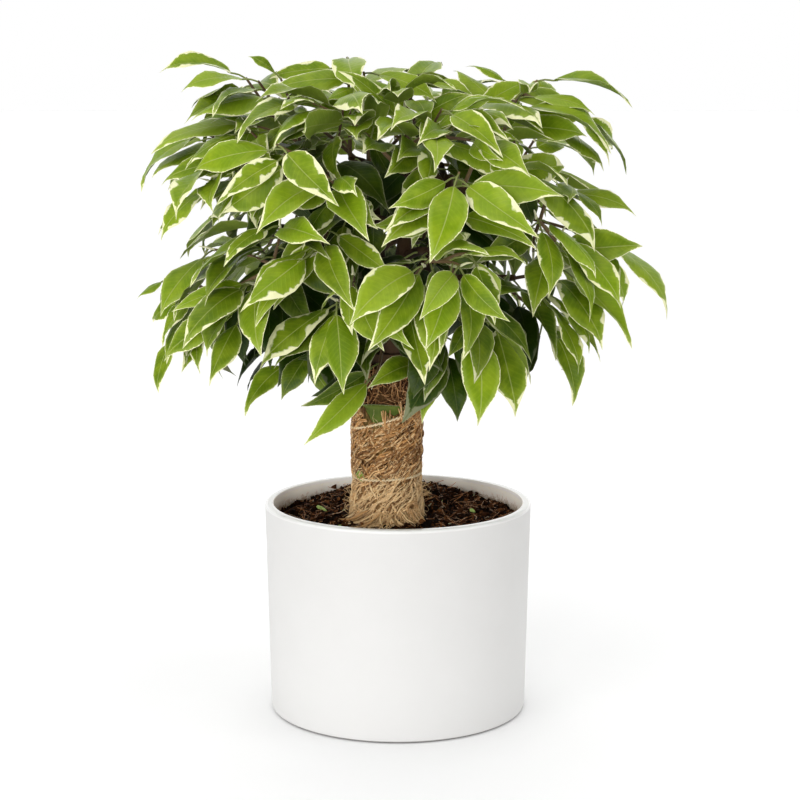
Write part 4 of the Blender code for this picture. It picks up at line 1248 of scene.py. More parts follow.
def plan_limbs(leaders):
    """Limbs leave the nearest leader and reach halfway to the crown's surface."""
    limbs = []
    for direction in even_directions(LIMBS, LIMB_LOWEST):
        end = CROWN_CENTRE + (dome(direction) - CROWN_CENTRE) * LIMB_SHARE
        choices = []
        for leader in leaders:
            for share in LIMB_STARTS:
                start, along, radius = leader.at(share)
                line = end - start
                climb = max(0.0, start.z - end.z + LIMB_CLIMB)
                choices.append((line.length + climb / 2, share, start, along, radius))
        _, _, start, along, radius = min(choices, key=lambda choice: choice[:2])
        line = end - start
        pull = start + (along * 0.5 + line.normalized()).normalized() * (line.length * 0.4)
        points = bent(start, pull, end - line.normalized() * (line.length * 0.3), end, LIMB_POINTS)
        radii = tapered(min(LIMB_RADIUS, radius * 0.9), LIMB_TIP_RADIUS, LIMB_POINTS)
        limbs.append(Twig(points, radii, len(limbs)))
    return limbs


def starts_on(carriers, goal, sunk):
    """Places on the carrying bars from which a twig can leave for its goal, the best first."""
    choices = []
    for number, carrier in enumerate(carriers):
        for share in TWIG_PLACES:
            start, along, _ = carrier.at(share)
            line = goal - start
            if not TWIG_SHORTEST < line.length < TWIG_LONGEST:
                continue
            angle = along.angle(line)
            if share == 1.0 and not sunk:
                cost = BEND_COST * angle
            else:
                cost = FORK_COST * abs(angle - FORK_ANGLE) + SIDE_COST
            choices.append((line.length + cost, number, share))
    return sorted(choices)


def twig_between(carrier, share, leaf, sunk, draw):
    """A twig from its carrier to the root of its end leaf, lifted on the way and nodding at its end."""
    start, along, radius = carrier.at(share)
    stalk_line = (leaf.foot() - leaf.root).normalized()
    end = leaf.root
    line = end - start
    lean = (line.normalized() + 0.25 * UP + 0.25 * outward(end)).normalized()
    if share == 1.0 and not sunk:
        leave = along
        first = start + along * (GAP + TWIG_RADIUS / 2)
    else:
        flat = (lean - along * lean.dot(along)).normalized()
        leave = (flat * 0.8 + along * 0.6).normalized()
        angle = along.angle(leave)
        reach = radius / math.cos(math.pi / 6) + GAP + TWIG_RADIUS * math.cos(angle)
        first = start if sunk else start + leave * (reach / math.sin(angle))
    nod = (stalk_line + 0.5 * outward(end) + 0.3 * UP).normalized()
    span = (end - first).length
    wander = any_shift(draw) * (span * 0.08)
    count = max(3, round(span / TWIG_SPAN) + 1)
    points = bent(first, first + leave * (span * 0.35), end - nod * (span * 0.3) + wander, end, count)
    points[-1] += (points[-1] - points[-2]).normalized() * STALK_SEAT
    radii = tapered(TWIG_RADIUS, TWIG_TIP_RADIUS, count)
    if sunk:
        radii = [FORK_ROOT_RADIUS] + [TWIG_TIP_RADIUS] * (count - 1)
    return Twig(points, radii, 0)


def aimed_leaves():
    """The end leaf of every shoot: the shown ones first, then an even spread over the rest of the dome."""
    draw = random.Random(SEED)
    shown = [leaf_to(seen(a, b, e), seen(c, d, f), draw, 0.5) for a, b, c, d, e, f in SHOWN_LEAVES]
    forked = [leaf_to(seen(a, b, e), seen(c, d, f), draw, 0.5) for a, b, c, d, e, f in FORKED_LEAVES]
    taken = [leaf.tip() for leaf in shown + forked]
    spread = []
    for direction in even_directions(AIMS, AIM_LOWEST):
        tip = dome(direction)
        tip = CROWN_CENTRE + (tip - CROWN_CENTRE) * draw.uniform(0.93, 1.0)
        if min((tip - other).length for other in taken) < AIM_CLEARANCE:
            continue
        away = outward(tip)
        heading = (away - droop_at(tip.z) * UP + 0.35 * draw.uniform(-1, 1) * away.cross(UP)).normalized()
        length = LEAF_LENGTH + draw.uniform(-1, 1) * LEAF_SPREAD
        spread.append(leaf_to(tip - heading * length, tip, draw))
        taken.append(tip)
    stems = shown + [leaf for i, leaf in enumerate(spread) if i % 3 != 2]
    return stems, forked + spread[2::3]


def nudged(leaf, amount, draw):
    """The same leaf a little to one side and rolled a little."""
    shift = any_shift(draw) * (amount * NUDGE)
    normal = Matrix.Rotation(amount * draw.uniform(-0.1, 0.1), 3, leaf.heading) @ leaf.normal
    return replace(leaf, root=leaf.root + shift, normal=normal)


def find_twig(leaf, carriers, sunk, feet, taken, draw):
    """The first twig that reaches the leaf with nothing in its way."""
    for _, number, share in starts_on(carriers, leaf.root, sunk)[:TWIG_STARTS]:
        carrier = carriers[number]
        twig = twig_between(carrier, share, leaf, sunk, draw)
        if not sunk and any((twig.points[0] - foot).length < FOOT_SPACING for foot in feet):
            continue
        near = bar_mesh(twig.points, twig.radii, CLEARANCE / 2, skip=1)
        whole = bar_mesh(twig.points, twig.radii, CLEARANCE / 4)
        own = ("twig", carrier.shoot) if sunk else None
        if taken.free(*near) and taken.free(*whole, own):
            return twig, carrier
    return None, None


def grow_twigs(frame, taken):
    """Every shoot's twig, then the forks, each with its end leaf."""
    stems, forked = aimed_leaves()
    draw = random.Random(SEED + 1)
    twigs = []
    ends = []
    for turn, aimed in enumerate(stems + forked):
        sunk = turn >= len(stems)
        carriers = list(twigs) if sunk else frame
        twig = None
        for attempt in range(END_TRIES):
            leaf = nudged(aimed, attempt, draw)
            mesh = leaf_mesh(leaf, CLEARANCE / 2)
            if taken.free(*mesh):
                feet = [other.points[0] for other in twigs]
                twig, carrier = find_twig(leaf, carriers, sunk, feet, taken, draw)
            if twig:
                break
        else:
            continue
        twig.shoot = carrier.shoot if sunk else len({other.shoot for other in twigs})
        twigs.append(twig)
        ends.append(leaf)
        taken.add(*bar_mesh(twig.points, twig.radii, CLEARANCE / 2), ("twig", twig.shoot))
        taken.add(*mesh, ("leaf", len(ends)))
    return twigs, ends


def side_leaf(twig, place, side, draw, loosen):
    """A leaf that leaves its twig to one side, outward and down."""
    root, along, _ = twig.at(place)
    across = along.cross(UP)
    if across.length < 0.2:
        across = along.orthogonal()
    across = across.normalized() * side
    scatter = any_way(draw) * (0.16 + loosen)
    heading = 0.6 * across + 0.55 * along + 0.45 * outward(root) - droop_at(root.z) * UP + scatter
    heading = heading.normalized()
    normal = upper_side(root, heading, draw.gauss(0, 0.25 + loosen))
    length = LEAF_LENGTH + draw.uniform(-1.6, 1) * LEAF_SPREAD
    return Leaf(root, heading, normal, length * (1.0 - 0.35 * loosen), LEAF_ARCH * draw.uniform(0.5, 1.2))


def leaf_fits(leaf, owner, taken, room):
    if leaf.tip().z < CROWN_HEM or not inside_dome(leaf.tip()) or not inside_dome(leaf.spine(0.5)[0]):
        return False
    points, faces = leaf_mesh(leaf, room)
    return taken.free(points, faces, owner) and taken.free(*blade_only(points, faces))


def closing_leaves(twigs, taken):
    """Leaves that close the crown's curtain where the shoots leave it open, hung from the nearest twigs."""
    draw = random.Random(SEED + 9)
    leaves = []
    for across, height, tip_across, tip_height in CURTAIN:
        roots = [(number, twig.at(share / 10)[0])
                 for number, twig in enumerate(twigs) for share in range(1, 11)]
        roots = [(seen_away(root, across, height), number, root) for number, root in roots]
        for away, number, root in sorted(roots, key=lambda choice: choice[0]):
            tip = seen(tip_across, tip_height, root.y / MM - 3.0)
            leaf = leaf_to(root + (tip - root) * 0.2, tip, draw, draw.uniform(0.2, 1.0))
            leaf = replace(leaf, root=root)
            if away > CURTAIN_REACH or leaf_fits(leaf, ("twig", twigs[number].shoot), taken, EXTRA_ROOM):
                break
        if away <= CURTAIN_REACH:
            taken.add(*leaf_mesh(leaf, EXTRA_ROOM), ("closing", len(leaves)))
            leaves.append((number, leaf))
    return leaves


def grow_leaves(twigs, taken, spacing, seed, most, room=CLEARANCE / 2, owner="twig"):
    """Side leaves for every twig, by turns, from the tips inward."""
    places = []
    for number, twig in enumerate(twigs):
        length = twig.length()
        count = int((length - BARE_FOOT) / spacing)
        for i in range(count):
            places.append((i, number, 1.0 - (i + 0.8) * spacing / length))
    leaves = []
    for i, number, place in sorted(places):
        if len(leaves) == most:
            break
        draw = random.Random(seed * 1000003 + number * 1009 + i)
        for attempt in range(LEAF_TRIES):
            side = 1 if (i + number + attempt // 8) % 2 else -1
            leaf = side_leaf(twigs[number], max(0.04, place), side, draw, attempt / LEAF_TRIES * 0.8)
            if leaf_fits(leaf, (owner, twigs[number].shoot), taken, room):
                taken.add(*leaf_mesh(leaf, room), ("leaf", number, i))
                leaves.append((number, leaf))
                break
    return leaves


def wrap_room(taken):
    """The trunk and its wrapping take their room before any leaf does."""
    heights = [WRAP_FOOT, WAIST_HEIGHT, NET_TOP, SLEEVE_TOP, TRUNK_TOP]
    radii = [wrap_radius(height) + WRAP_MARGIN for height in heights[:3]] + [WRAP_RADIUS, TRUNK_TOP_RADIUS]
    taken.add(*bar_mesh([TRUNK_AXIS + UP * height for height in heights], radii, sides=16), ("wrap",))


def plan_crown():
    """Everything that grows above the wrapping: bars, twigs, end leaves and side leaves."""
    leaders = plan_leaders()
    limbs = plan_limbs(leaders)
    taken = Taken()
    wrap_room(taken)
    for bar in leaders + limbs:
        taken.add(*bar_mesh(bar.points, bar.radii), ("wood", bar.shoot))
    twigs, ends = grow_twigs(limbs + leaders, taken)
    leaves = grow_leaves(twigs, taken, LEAF_SPACING, SEED + 2, LEAVES - len(twigs))
    return leaders, limbs, twigs, ends, leaves, taken


# Leaf blades

def outline_at(share):
    """Half the blade's width at a share of its length, in widest halves."""
    for (low, first), (high, second) in zip(BLADE_OUTLINE, BLADE_OUTLINE[1:]):
        if share <= high:
            return first + (second - first) * (share - low) / (high - low)
    return 0.0


def blade_mesh(name, arch, form):
    """A leaf blade one unit long: its foot at the origin, its tip on X, its upper side on Z."""
    fold, curl, wave, twist, sway, phase = form
    half_arch = arch / 2
    points = []
    marks = []

    def add_point(share, across, out):
        turn = arch * share - half_arch
        along = (math.sin(turn) + math.sin(half_arch)) / (2 * math.sin(half_arch))
        lift = (math.cos(turn) - math.cos(half_arch)) / (2 * math.sin(half_arch))
        normal = Vector((math.sin(turn), 0.0, math.cos(turn)))
        forward = Vector((math.cos(turn), 0.0, -math.sin(turn)))
        roll = Matrix.Rotation(twist * (share - 0.3), 3, forward)
        side = roll @ Vector((0.0, 1.0, 0.0))
        normal = roll @ normal
        half = BLADE_HALF_WIDTH * outline_at(share)
        rise = fold * abs(across) * half - curl * across * across * half
        late = 2.1 if across > 0 else 0.0
        rise += wave * across * across * math.sin(math.tau * 1.6 * share + phase + late)
        drip = -BLADE_DRIP * max(0.0, share - 0.75) ** 2
        centre = Vector((along, sway * math.sin(math.pi * share), lift + drip))
        points.append(centre + side * (across * half) + normal * (rise + out))
        marks.append((across, share, half * (1.0 - abs(across)), half * abs(across)))

    add_point(0.0, 0.0, 0.0)
    for share in BLADE_STATIONS:
        for across, out in ((-1.0, 0.0), (-0.5, 0.75), (0.0, 1.0), (0.5, 0.75), (1.0, 0.0), (0.0, -1.0)):
            add_point(share, across, out * BLADE_THICKNESS)
    add_point(1.0, 0.0, 0.0)
    tip = len(points) - 1
    top = []
    under = []
    for j in range(4):
        top.append((0, 1 + j, 2 + j))
        top.append((tip - 6 + j, tip, tip - 5 + j))
    under += [(0, 6, 1), (0, 5, 6), (tip - 6, tip - 1, tip), (tip - 1, tip - 2, tip)]
    for ring in range(len(BLADE_STATIONS) - 1):
        a = 1 + 6 * ring
        b = a + 6
        top += [(a + j, b + j, b + j + 1, a + j + 1) for j in range(4)]
        under += [(a, a + 5, b + 5, b), (a + 5, a + 4, b + 4, b + 5)]
    mesh = bpy.data.meshes.new(name)
    mesh.from_pydata(points, [], top + under)
    blade = mesh.uv_layers.new(name="blade")
    reach = mesh.uv_layers.new(name="reach")
    for number, face in enumerate(mesh.polygons):
        middle = CHART_UPPER if number < len(top) else CHART_UNDER
        for corner in face.loop_indices:
            across, share, to_margin, to_midrib = marks[mesh.loops[corner].vertex_index]
            blade.data[corner].uv = (middle + CHART_HALF * across, share)
            reach.data[corner].uv = (to_margin, to_midrib)
    mesh.shade_smooth()
    rim = {0, tip} | {1 + 6 * ring + j for ring in range(len(BLADE_STATIONS)) for j in (0, 4)}
    for edge in mesh.edges:
        edge.use_edge_sharp = all(vertex in rim for vertex in edge.vertices)
    return mesh


def leaf_kinds():
    """Every arch in every form, arch by arch."""
    meshes = []
    for arch in BLADE_ARCHES:
        for form in BLADE_FORMS:
            meshes.append(blade_mesh("blade", math.radians(arch), form))
    return kinds_of("leaf_kind", meshes)


def depth_in_crown(point):
    """From 0 at the middle of the crown to 1 at its surface."""
    offset = point - CROWN_CENTRE
    return offset.length / (dome(offset.normalized()) - CROWN_CENTRE).length


def leaf_spot(leaf, draw, widths):
    """The place, size, form and tone of a leaf's blade; the tone is partly random, partly the leaf's age and
    partly painted shade.
    """
    shorter, narrower, age = leaf.change
    middle, _ = leaf.spine(0.5)
    side = leaf.normal.cross(leaf.heading)
    turn = Matrix((leaf.heading, side, leaf.normal)).transposed()
    arch = min(range(len(BLADE_ARCHES)), key=lambda i: abs(math.radians(BLADE_ARCHES[i]) - leaf.arch))
    kind = arch * len(BLADE_FORMS) + draw.randrange(len(BLADE_FORMS))
    length = leaf.length * shorter
    size = (length, leaf.length * narrower * draw.uniform(*widths), length)
    # Painted shade: leaves deep in the crown and low in it, more so on its left, get lower tones
    low = eased((CROWN_CENTRE.z - middle.z) / (60 * MM))
    shade = SHADE_DEPTH + LOW_SHADE * low
    lit = eased((depth_in_crown(middle) - shade) / (0.95 - shade))
    aside = eased(-middle.x / (80 * MM))
    tone = 0.52 * lit + 0.66 * draw.random() * (0.3 + 0.7 * lit) - (0.15 + 0.16 * aside) * low + age
    return Spot(leaf.foot(), turn, size, kind, (tone, draw.random(), draw.random()))


def stalk_strand(leaf, draw):
    """A leaf's stalk, from inside its twig to the blade's foot and on a little under the midrib."""
    foot = leaf.foot()
    inner, normal = leaf.spine(0.06)
    middle = (leaf.root + foot) / 2 + UP * (0.08 * leaf.stalk)
    points = [leaf.root, middle, foot, inner - normal * (0.3 * MM)]
    return Strand(points, [STALK_THICKNESS] * 3 + [STALK_THICKNESS * 0.5], own_fate(draw))


def seen_away(point, across, height):
    """How far a point is from a place in the upright plane through the origin, as the eye sees both."""
    flat = EYE + (point - EYE) * (-EYE.y / (point.y - EYE.y))
    return math.hypot(flat.x - across * MM, flat.z - height * MM)


def in_gap(leaf):
    """Whether a leaf would hang over one of the openings that show through the crown."""
    for point in [leaf.spine(share / 4)[0] for share in range(5)]:
        for across, height, reach in OPENINGS:
            if seen_away(point, across, height) < reach * MM:
                return True
    return False


def mark_odd_leaves(leaves):
    """Gives each change to the leaf nearest its place, one in front rather than one behind."""
    for across, height, *change in ODD_LEAVES:
        middles = [leaf.spine(0.5)[0] for leaf in leaves]
        away = [seen_away(middle, across, height) + 0.25 * middle.y for middle in middles]
        leaves[away.index(min(away))].change = tuple(change)


def spike_strand(twig, draw):
    """The pale pointed sheath of the next leaf, at a twig's end."""
    end, along, radius = twig.at(1.0)
    start, _, _ = twig.at(0.97)
    lean = (along + UP * draw.uniform(0.0, 0.5)).normalized()
    length = draw.uniform(*SPIKE_LENGTHS)
    points = [start, end, end + lean * (0.5 * length), end + lean * length - UP * (0.1 * length)]
    radii = [radius, SPIKE_THICKNESS, SPIKE_THICKNESS * 0.8, 0.1 * MM]
    return Strand(points, radii, (0.0, 1.0, draw.random()))


# Crown pieces

def twig_strand(twig, carried, draw):
    """A twig, sunk into what carries it."""
    points = list(twig.points)
    along = (points[1] - points[0]).normalized()
    points[0] = points[0] - along * carried
    radii = tapered(TWIG_THICKNESS, TWIG_TIP_THICKNESS, len(points))
    return Strand(points, radii, own_fate(draw))


def make_crown(bark, skin, stalk_skin, blade, scatter, rod):
    """Leaders, limbs, twigs, stalks and leaves, the leaves in groups of whole shoots."""
    leaders, limbs, twigs, ends, leaves, taken = plan_crown()
    draw = random.Random(SEED + 5)
    extra = grow_leaves(twigs, taken, EXTRA_SPACING, SEED + 6, EXTRA_LEAVES, EXTRA_ROOM)
    extra = [(number, leaf) for number, leaf in extra if not in_gap(leaf)]
    extra += closing_leaves(twigs, taken)
    inner = grow_leaves(limbs, taken, INNER_SPACING, SEED + 7, INNER_LEAVES, EXTRA_ROOM, "wood")
    inner = [(number, leaf) for number, leaf in inner if not in_gap(leaf)]
    levels = (TRUNK_FOOT + 40 * MM, TRUNK_MIDDLE, TRUNK_TOP)
    trunk = [TRUNK_AXIS + UP * level for level in levels]
    wood = [Strand(trunk, [TRUNK_RADIUS, TRUNK_RADIUS, TRUNK_TOP_RADIUS], (0.5, 0.0, 0.5))]
    wood += [Strand(bar.points, bar.radii, own_fate(draw)) for bar in leaders + limbs]
    piece = rods("wood", wood, 10, 4, bark, rod)
    place(piece, "fig_bark", "trunk")
    count = len({twig.shoot for twig in twigs})
    stems = [twig_strand(twig, TWIG_SUNK if number < count else 0.0, draw)
             for number, twig in enumerate(twigs)]
    place(rods("twigs", stems, 6, 4, skin, rod), "fig_bark")
    all_leaves = list(enumerate(ends)) + leaves + extra
    mark_odd_leaves([leaf for _, leaf in all_leaves + inner])
    stalks = [stalk_strand(leaf, draw) for _, leaf in all_leaves + inner]
    covered = [twig for twig in twigs if depth_in_crown(twig.at(1.0)[0]) < SPIKE_DEPTH]
    stalks += [spike_strand(twig, draw) for twig in covered]
    place(rods("leaf_stalks", stalks, 5, 2, stalk_skin, rod), "leaf_green")
    kinds = leaf_kinds()
    for i in range(LEAF_GROUPS):
        shoots = [shoot for shoot in range(count) if shoot * LEAF_GROUPS // count == i]
        spots = []
        for turn, (number, leaf) in enumerate(all_leaves):
            if twigs[number].shoot in shoots:
                widths = SHOWN_WIDTHS if turn < len(ends) else BLADE_WIDTHS
                spots.append(leaf_spot(leaf, draw, widths))
        spots += [leaf_spot(leaf, draw, BLADE_WIDTHS) for turn, (_, leaf) in enumerate(inner)
                  if turn % LEAF_GROUPS == i]
        piece = scattered(f"leaves_{i + 1}", spots, kinds, blade, scatter)
        place(piece, "leaf_green", *[f"shoot_{shoot + 1:02d}" for shoot in shoots])
    clear_kinds(kinds)


def place(piece, slot, *nodes):
    """The piece rides on the plant's body and stands for these CAD nodes; the slot is not used."""
    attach(piece, "root")
    if nodes:
        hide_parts(*nodes)


# Pot

def closed_mesh(name, points, faces):
    """A smooth closed mesh, its faces turned outward."""
    mesh = bpy.data.meshes.new(name)
    mesh.from_pydata(points, [], faces)
    shape = bmesh.new()
    shape.from_mesh(mesh)
    bmesh.ops.recalc_face_normals(shape, faces=shape.faces)
    shape.to_mesh(mesh)
    shape.free()
    mesh.shade_smooth()
    return mesh


def band(a, b, steps):
    """The faces between two rings of points, given by their first points."""
    return [(a + j, b + j, b + (j + 1) % steps, a + (j + 1) % steps) for j in range(steps)]


def turned(name, profile, steps, finish):
    """A closed solid turned round the upright axis from a profile that starts and ends on it."""
    points = []
    faces = []
    ring = profile[1:-1]
    for radius, height in ring:
        points += [around(Vector(), radius, math.tau * j / steps, height) for j in range(steps)]
    first = len(points)
    points += [Vector((0.0, 0.0, profile[0][1])), Vector((0.0, 0.0, profile[-1][1]))]
    for j in range(steps):
        k = (j + 1) % steps
        for i in range(len(ring) - 1):
            a, b = i * steps, (i + 1) * steps
            faces.append((a + j, b + j, b + k, a + k))
        last = (len(ring) - 1) * steps
        faces += [(first, j, k), (first + 1, last + k, last + j)]
    return shown(name, closed_mesh(name, points, faces), finish)


def make_pot(glaze):
    """The planter's one wall, with a rounded lip and rounded corners."""
    floor_edge = pot_inner_radius(POT_FLOOR + POT_INNER_CORNER) - POT_INNER_CORNER
    down = -math.pi / 2
    inner = (floor_edge, POT_FLOOR + POT_INNER_CORNER)
    profile = [(0.0, POT_FLOOR)] + arc(inner, POT_INNER_CORNER, down, 0.0, 6)
    wall = [POT_HEIGHT * share for share in (0.2, 0.4, 0.6, 0.8)]
    profile += [(pot_inner_radius(height), height) for height in wall]
    lip = (POT_RADIUS - POT_WALL + LIP_INSIDE, POT_HEIGHT - LIP_INSIDE)
    profile += arc(lip, LIP_INSIDE, math.pi, math.pi / 2, 6)
    lip = (POT_RADIUS - LIP_OUTSIDE, POT_HEIGHT - LIP_OUTSIDE)
    profile += arc(lip, LIP_OUTSIDE, math.pi / 2, 0.0, 8)
    profile += [(pot_inner_radius(height) + POT_WALL, height) for height in reversed(wall)]
    profile += arc((POT_BASE_RADIUS - POT_CORNER, POT_CORNER), POT_CORNER, 0.0, down, 7)
    profile.append((0.0, 0.0))
    place(turned("pot_wall", profile, POT_STEPS, glaze), "white_ceramic", "pot")


# Soil

def bank_height(x, y):
    """The soil's surface, heaped up towards the back."""
    back = eased((y - SOIL_BANK_START) / SOIL_BANK_LENGTH)
    aside = eased((abs(x) - SOIL_BANK_WIDTH) / SOIL_BANK_FALL)
    return soil_height(x, y) + SOIL_BANK * back * (1.0 - aside)


def eased(share):
    """A smooth step from 0 to 1."""
    share = min(1.0, max(0.0, share))
    return share * share * (3.0 - 2.0 * share)


def crumb_mesh(name, draw, sharpness):
    """An uneven crumb of about one unit."""
    shape = bmesh.new()
    bmesh.ops.create_icosphere(shape, subdivisions=1, radius=0.5)
    for vertex in shape.verts:
        vertex.co = vertex.co * draw.uniform(1.0 - sharpness, 1.0 + sharpness)
    mesh = bpy.data.meshes.new(name)
    shape.to_mesh(mesh)
    shape.free()
    return mesh


def turned_any(draw):
    """A turn to anywhere."""
    axis = any_way(draw).normalized()
    return Matrix.Rotation(draw.uniform(0.0, math.tau), 3, axis)


def soil_place(draw, margin):
    """A place on the soil, clear of the wrapping and of the pot's wall."""
    while True:
        angle = draw.uniform(0.0, math.tau)
        away = (pot_inner_radius(SOIL_LEVEL) - margin) * math.sqrt(draw.random())
        x, y = away * math.cos(angle), away * math.sin(angle)
        if math.hypot(x - TRUNK_AXIS.x, y - TRUNK_AXIS.y) > WRAP_RADIUS + WRAP_FLARE + margin:
            return Vector((x, y, bank_height(x, y)))


def make_soil_bed(draw, mix):
    """A rough lumpy surface with a skirt that reaches down into the pot."""
    rim = pot_inner_radius(SOIL_LEVEL) - GAP
    steps = SOIL_STEPS
    rings = SOIL_RINGS
    points = [Vector((0.0, 0.0, bank_height(0.0, 0.0)))]
    faces = [(0, 1 + j, 1 + (j + 1) % steps) for j in range(steps)]
    for i in range(rings):
        for j in range(steps):
            point = around(Vector(), rim * (i + 1) / rings, math.tau * j / steps, 0.0)
            rough = draw.uniform(-1, 1) * SOIL_ROUGH if i < rings - 1 else 0.0
            points.append(Vector((point.x, point.y, bank_height(point.x, point.y) + rough)))
        if i:
            faces += band(1 + (i - 1) * steps, 1 + i * steps, steps)
    lip = 1 + (rings - 1) * steps
    foot = len(points)
    points += [Vector((points[lip + j].x, points[lip + j].y, SOIL_SKIRT)) for j in range(steps)]
    faces += band(lip, foot, steps)
    faces.append(tuple(range(foot, foot + steps)))
    place(shown("soil_bed", closed_mesh("soil_bed", points, faces), mix), "potting_soil", "soil")


def scatter_crumbs(draw, mix, scraps, scatter):
    """Crumbs all over the bed, then scraps and the few green ones."""
    kinds = kinds_of("crumb_kind", [crumb_mesh("crumb", draw, 0.20 + 0.06 * i) for i in range(CRUMB_KINDS)])
    spots = []
    for _ in range(CRUMBS):
        size = draw.uniform(0.4, 1.0) ** 2 * draw.choice((1.0, 1.0, 1.5, 2.4)) * CRUMB_SIZE
        point = soil_place(draw, size)
        flat = (size * draw.uniform(0.8, 1.5), size, size * draw.uniform(0.5, 1.0))
        lift = size * draw.uniform(-0.1, 0.8)
        fate = loose_fate(draw)
        spots.append(Spot(point + UP * lift, turned_any(draw), flat, draw.randrange(CRUMB_KINDS), fate))
    place(scattered("soil_crumbs", spots, kinds, mix, scatter), "potting_soil")
    spots = []
    for _ in range(SCRAPS):
        size = draw.uniform(0.5, 1.1) * CRUMB_SIZE
        point = soil_place(draw, size) + UP * (0.4 * size)
        flat = (size * 1.8, size * 0.8, size * 0.6)
        turn = turned_any(draw)
        kind = draw.randrange(CRUMB_KINDS)
        spots.append(Spot(point, turn, flat, kind, loose_fate(draw)))
    for x, y, length in GREEN_SCRAPS:
        point = Vector((x, y, bank_height(x, y) + 3.0 * MM))
        turn = Matrix.Rotation(-0.7, 3, UP) @ Matrix.Rotation(0.2, 3, "Y")
        spots.append(Spot(point, turn, (length, 2.6 * MM, 2.4 * MM), 0, (0.0, 0.0, 0.0)))
    place(scattered("soil_scraps", spots, kinds, scraps, scatter), "potting_soil")
    clear_kinds(kinds)


def make_soil(mix, scraps, scatter, rod, fibre):
    """The soil's bed, then its crumbs, scraps and fibres."""
    draw = random.Random(SEED + 20)
    make_soil_bed(draw, mix)
    scatter_crumbs(draw, mix, scraps, scatter)
    strands = []
    for _ in range(SOIL_FIBRES):
        point = soil_place(draw, 5 * MM) + UP * draw.uniform(0.3, 1.6) * MM
        heading = draw.uniform(0.0, math.tau)
        line = loose_line(point, heading, draw.uniform(3, 9) * MM, draw.choice((0.0, 0.15, 0.4)), draw)
        strands.append(even_strand(line, draw.uniform(0.08, 0.24) * MM, own_fate(draw)))
    place(rods("soil_fibres", strands, 4, 2, fibre, rod), "potting_soil")


def loose_line(point, heading, length, climb, draw):
    """A line that bends at random, nearly level or climbing."""
    points = []
    for _ in range(4):
        points.append(point.copy())
        heading += draw.uniform(-0.5, 0.5)
        step = Vector((math.cos(heading), math.sin(heading), climb + draw.uniform(-0.15, 0.15)))
        point = point + step * (length / 3)
    return points


# The wrapping round the trunk

def on_wrap(angle, height, out):
    return around(TRUNK_AXIS, wrap_radius(height) - WRAP_INSET + out, angle, height)


def round_wall(name, levels, outs, top, steps, finish):
    """A wall round the trunk's axis, closed over its top and its foot."""
    points = []
    for level, out in zip(levels, outs):
        for j in range(steps):
            angle = math.tau * j / steps
            height = min(level, top(angle)) if top else level
            points.append(on_wrap(angle, height, out))
    rings = len(levels)
    faces = []
    for i in range(rings - 1):
        for j in range(steps):
            k = (j + 1) % steps
            a, b = i * steps, (i + 1) * steps
            faces.append((a + j, a + k, b + k, b + j))
    faces.append(tuple(reversed(range(steps))))
    faces.append(tuple((rings - 1) * steps + j for j in range(steps)))
    return shown(name, closed_mesh(name, points, faces), finish)


def wrap_fibre(angle, height, length, slope, out, bow, wander, draw):
    """A fibre on the wrapping that starts at an angle and a height and wanders along a slope."""
    points = []
    for i in range(FIBRE_STEPS + 1):
        lift = out + bow * math.sin(math.pi * i / FIBRE_STEPS)
        points.append(on_wrap(angle, height, lift))
        slope += draw.uniform(-wander, wander)
        step = length / FIBRE_STEPS
        angle += step * math.cos(slope) / wrap_radius(height)
        height += step * math.sin(slope)
    return points


def straw_top(angle):
    """The straw's upper edge: it dips in front of the tucked leaf and climbs to the right of it."""
    turned_by = math.degrees(math.remainder(angle + math.pi / 2, math.tau))
    for (low, first), (high, second) in zip(STRAW_EDGE, STRAW_EDGE[1:]):
        if turned_by <= high:
            share = (turned_by - low) / (high - low)
            return (first + (second - first) * share) * MM
    return STRAW_EDGE[-1][1] * MM


def net_slope(height):
    """The netting's strands lie flatter towards its top."""
    share = min(1.0, max(0.0, (height - SOIL_LEVEL) / (NET_TOP - SOIL_LEVEL)))
    return NET_SLOPES[0] + (NET_SLOPES[1] - NET_SLOPES[0]) * share


def paler(height):
    """How much paler the straw is painted low on the trunk: partly its own paler colour, partly painted light.
    """
    return min(1.0, max(0.0, (PALE_HEIGHT - height) / PALE_LENGTH))


def strand_line(angle, height, top):
    """The line of a bundle that climbs to the right, up to a height."""
    line = []
    while height < min(top, straw_top(angle)):
        line.append((angle, height))
        slope = net_slope(height)
        angle += NET_STEP * math.cos(slope) / wrap_radius(height)
        height += NET_STEP * math.sin(slope)
    return line


def straw_thickness(draw):
    """Most straws are thin and a few are stout."""
    thin, stout = NET_THICKNESS
    return thin + (stout - thin) * draw.random() ** 1.6


def in_hollow(angle, height):
    """Whether a place on the wrapping is inside the frayed loop."""
    across = math.remainder(angle - LOOP_PLACE[0], math.tau) * WRAP_RADIUS
    return math.hypot(across, height - LOOP_PLACE[1]) < HOLLOW_REACH


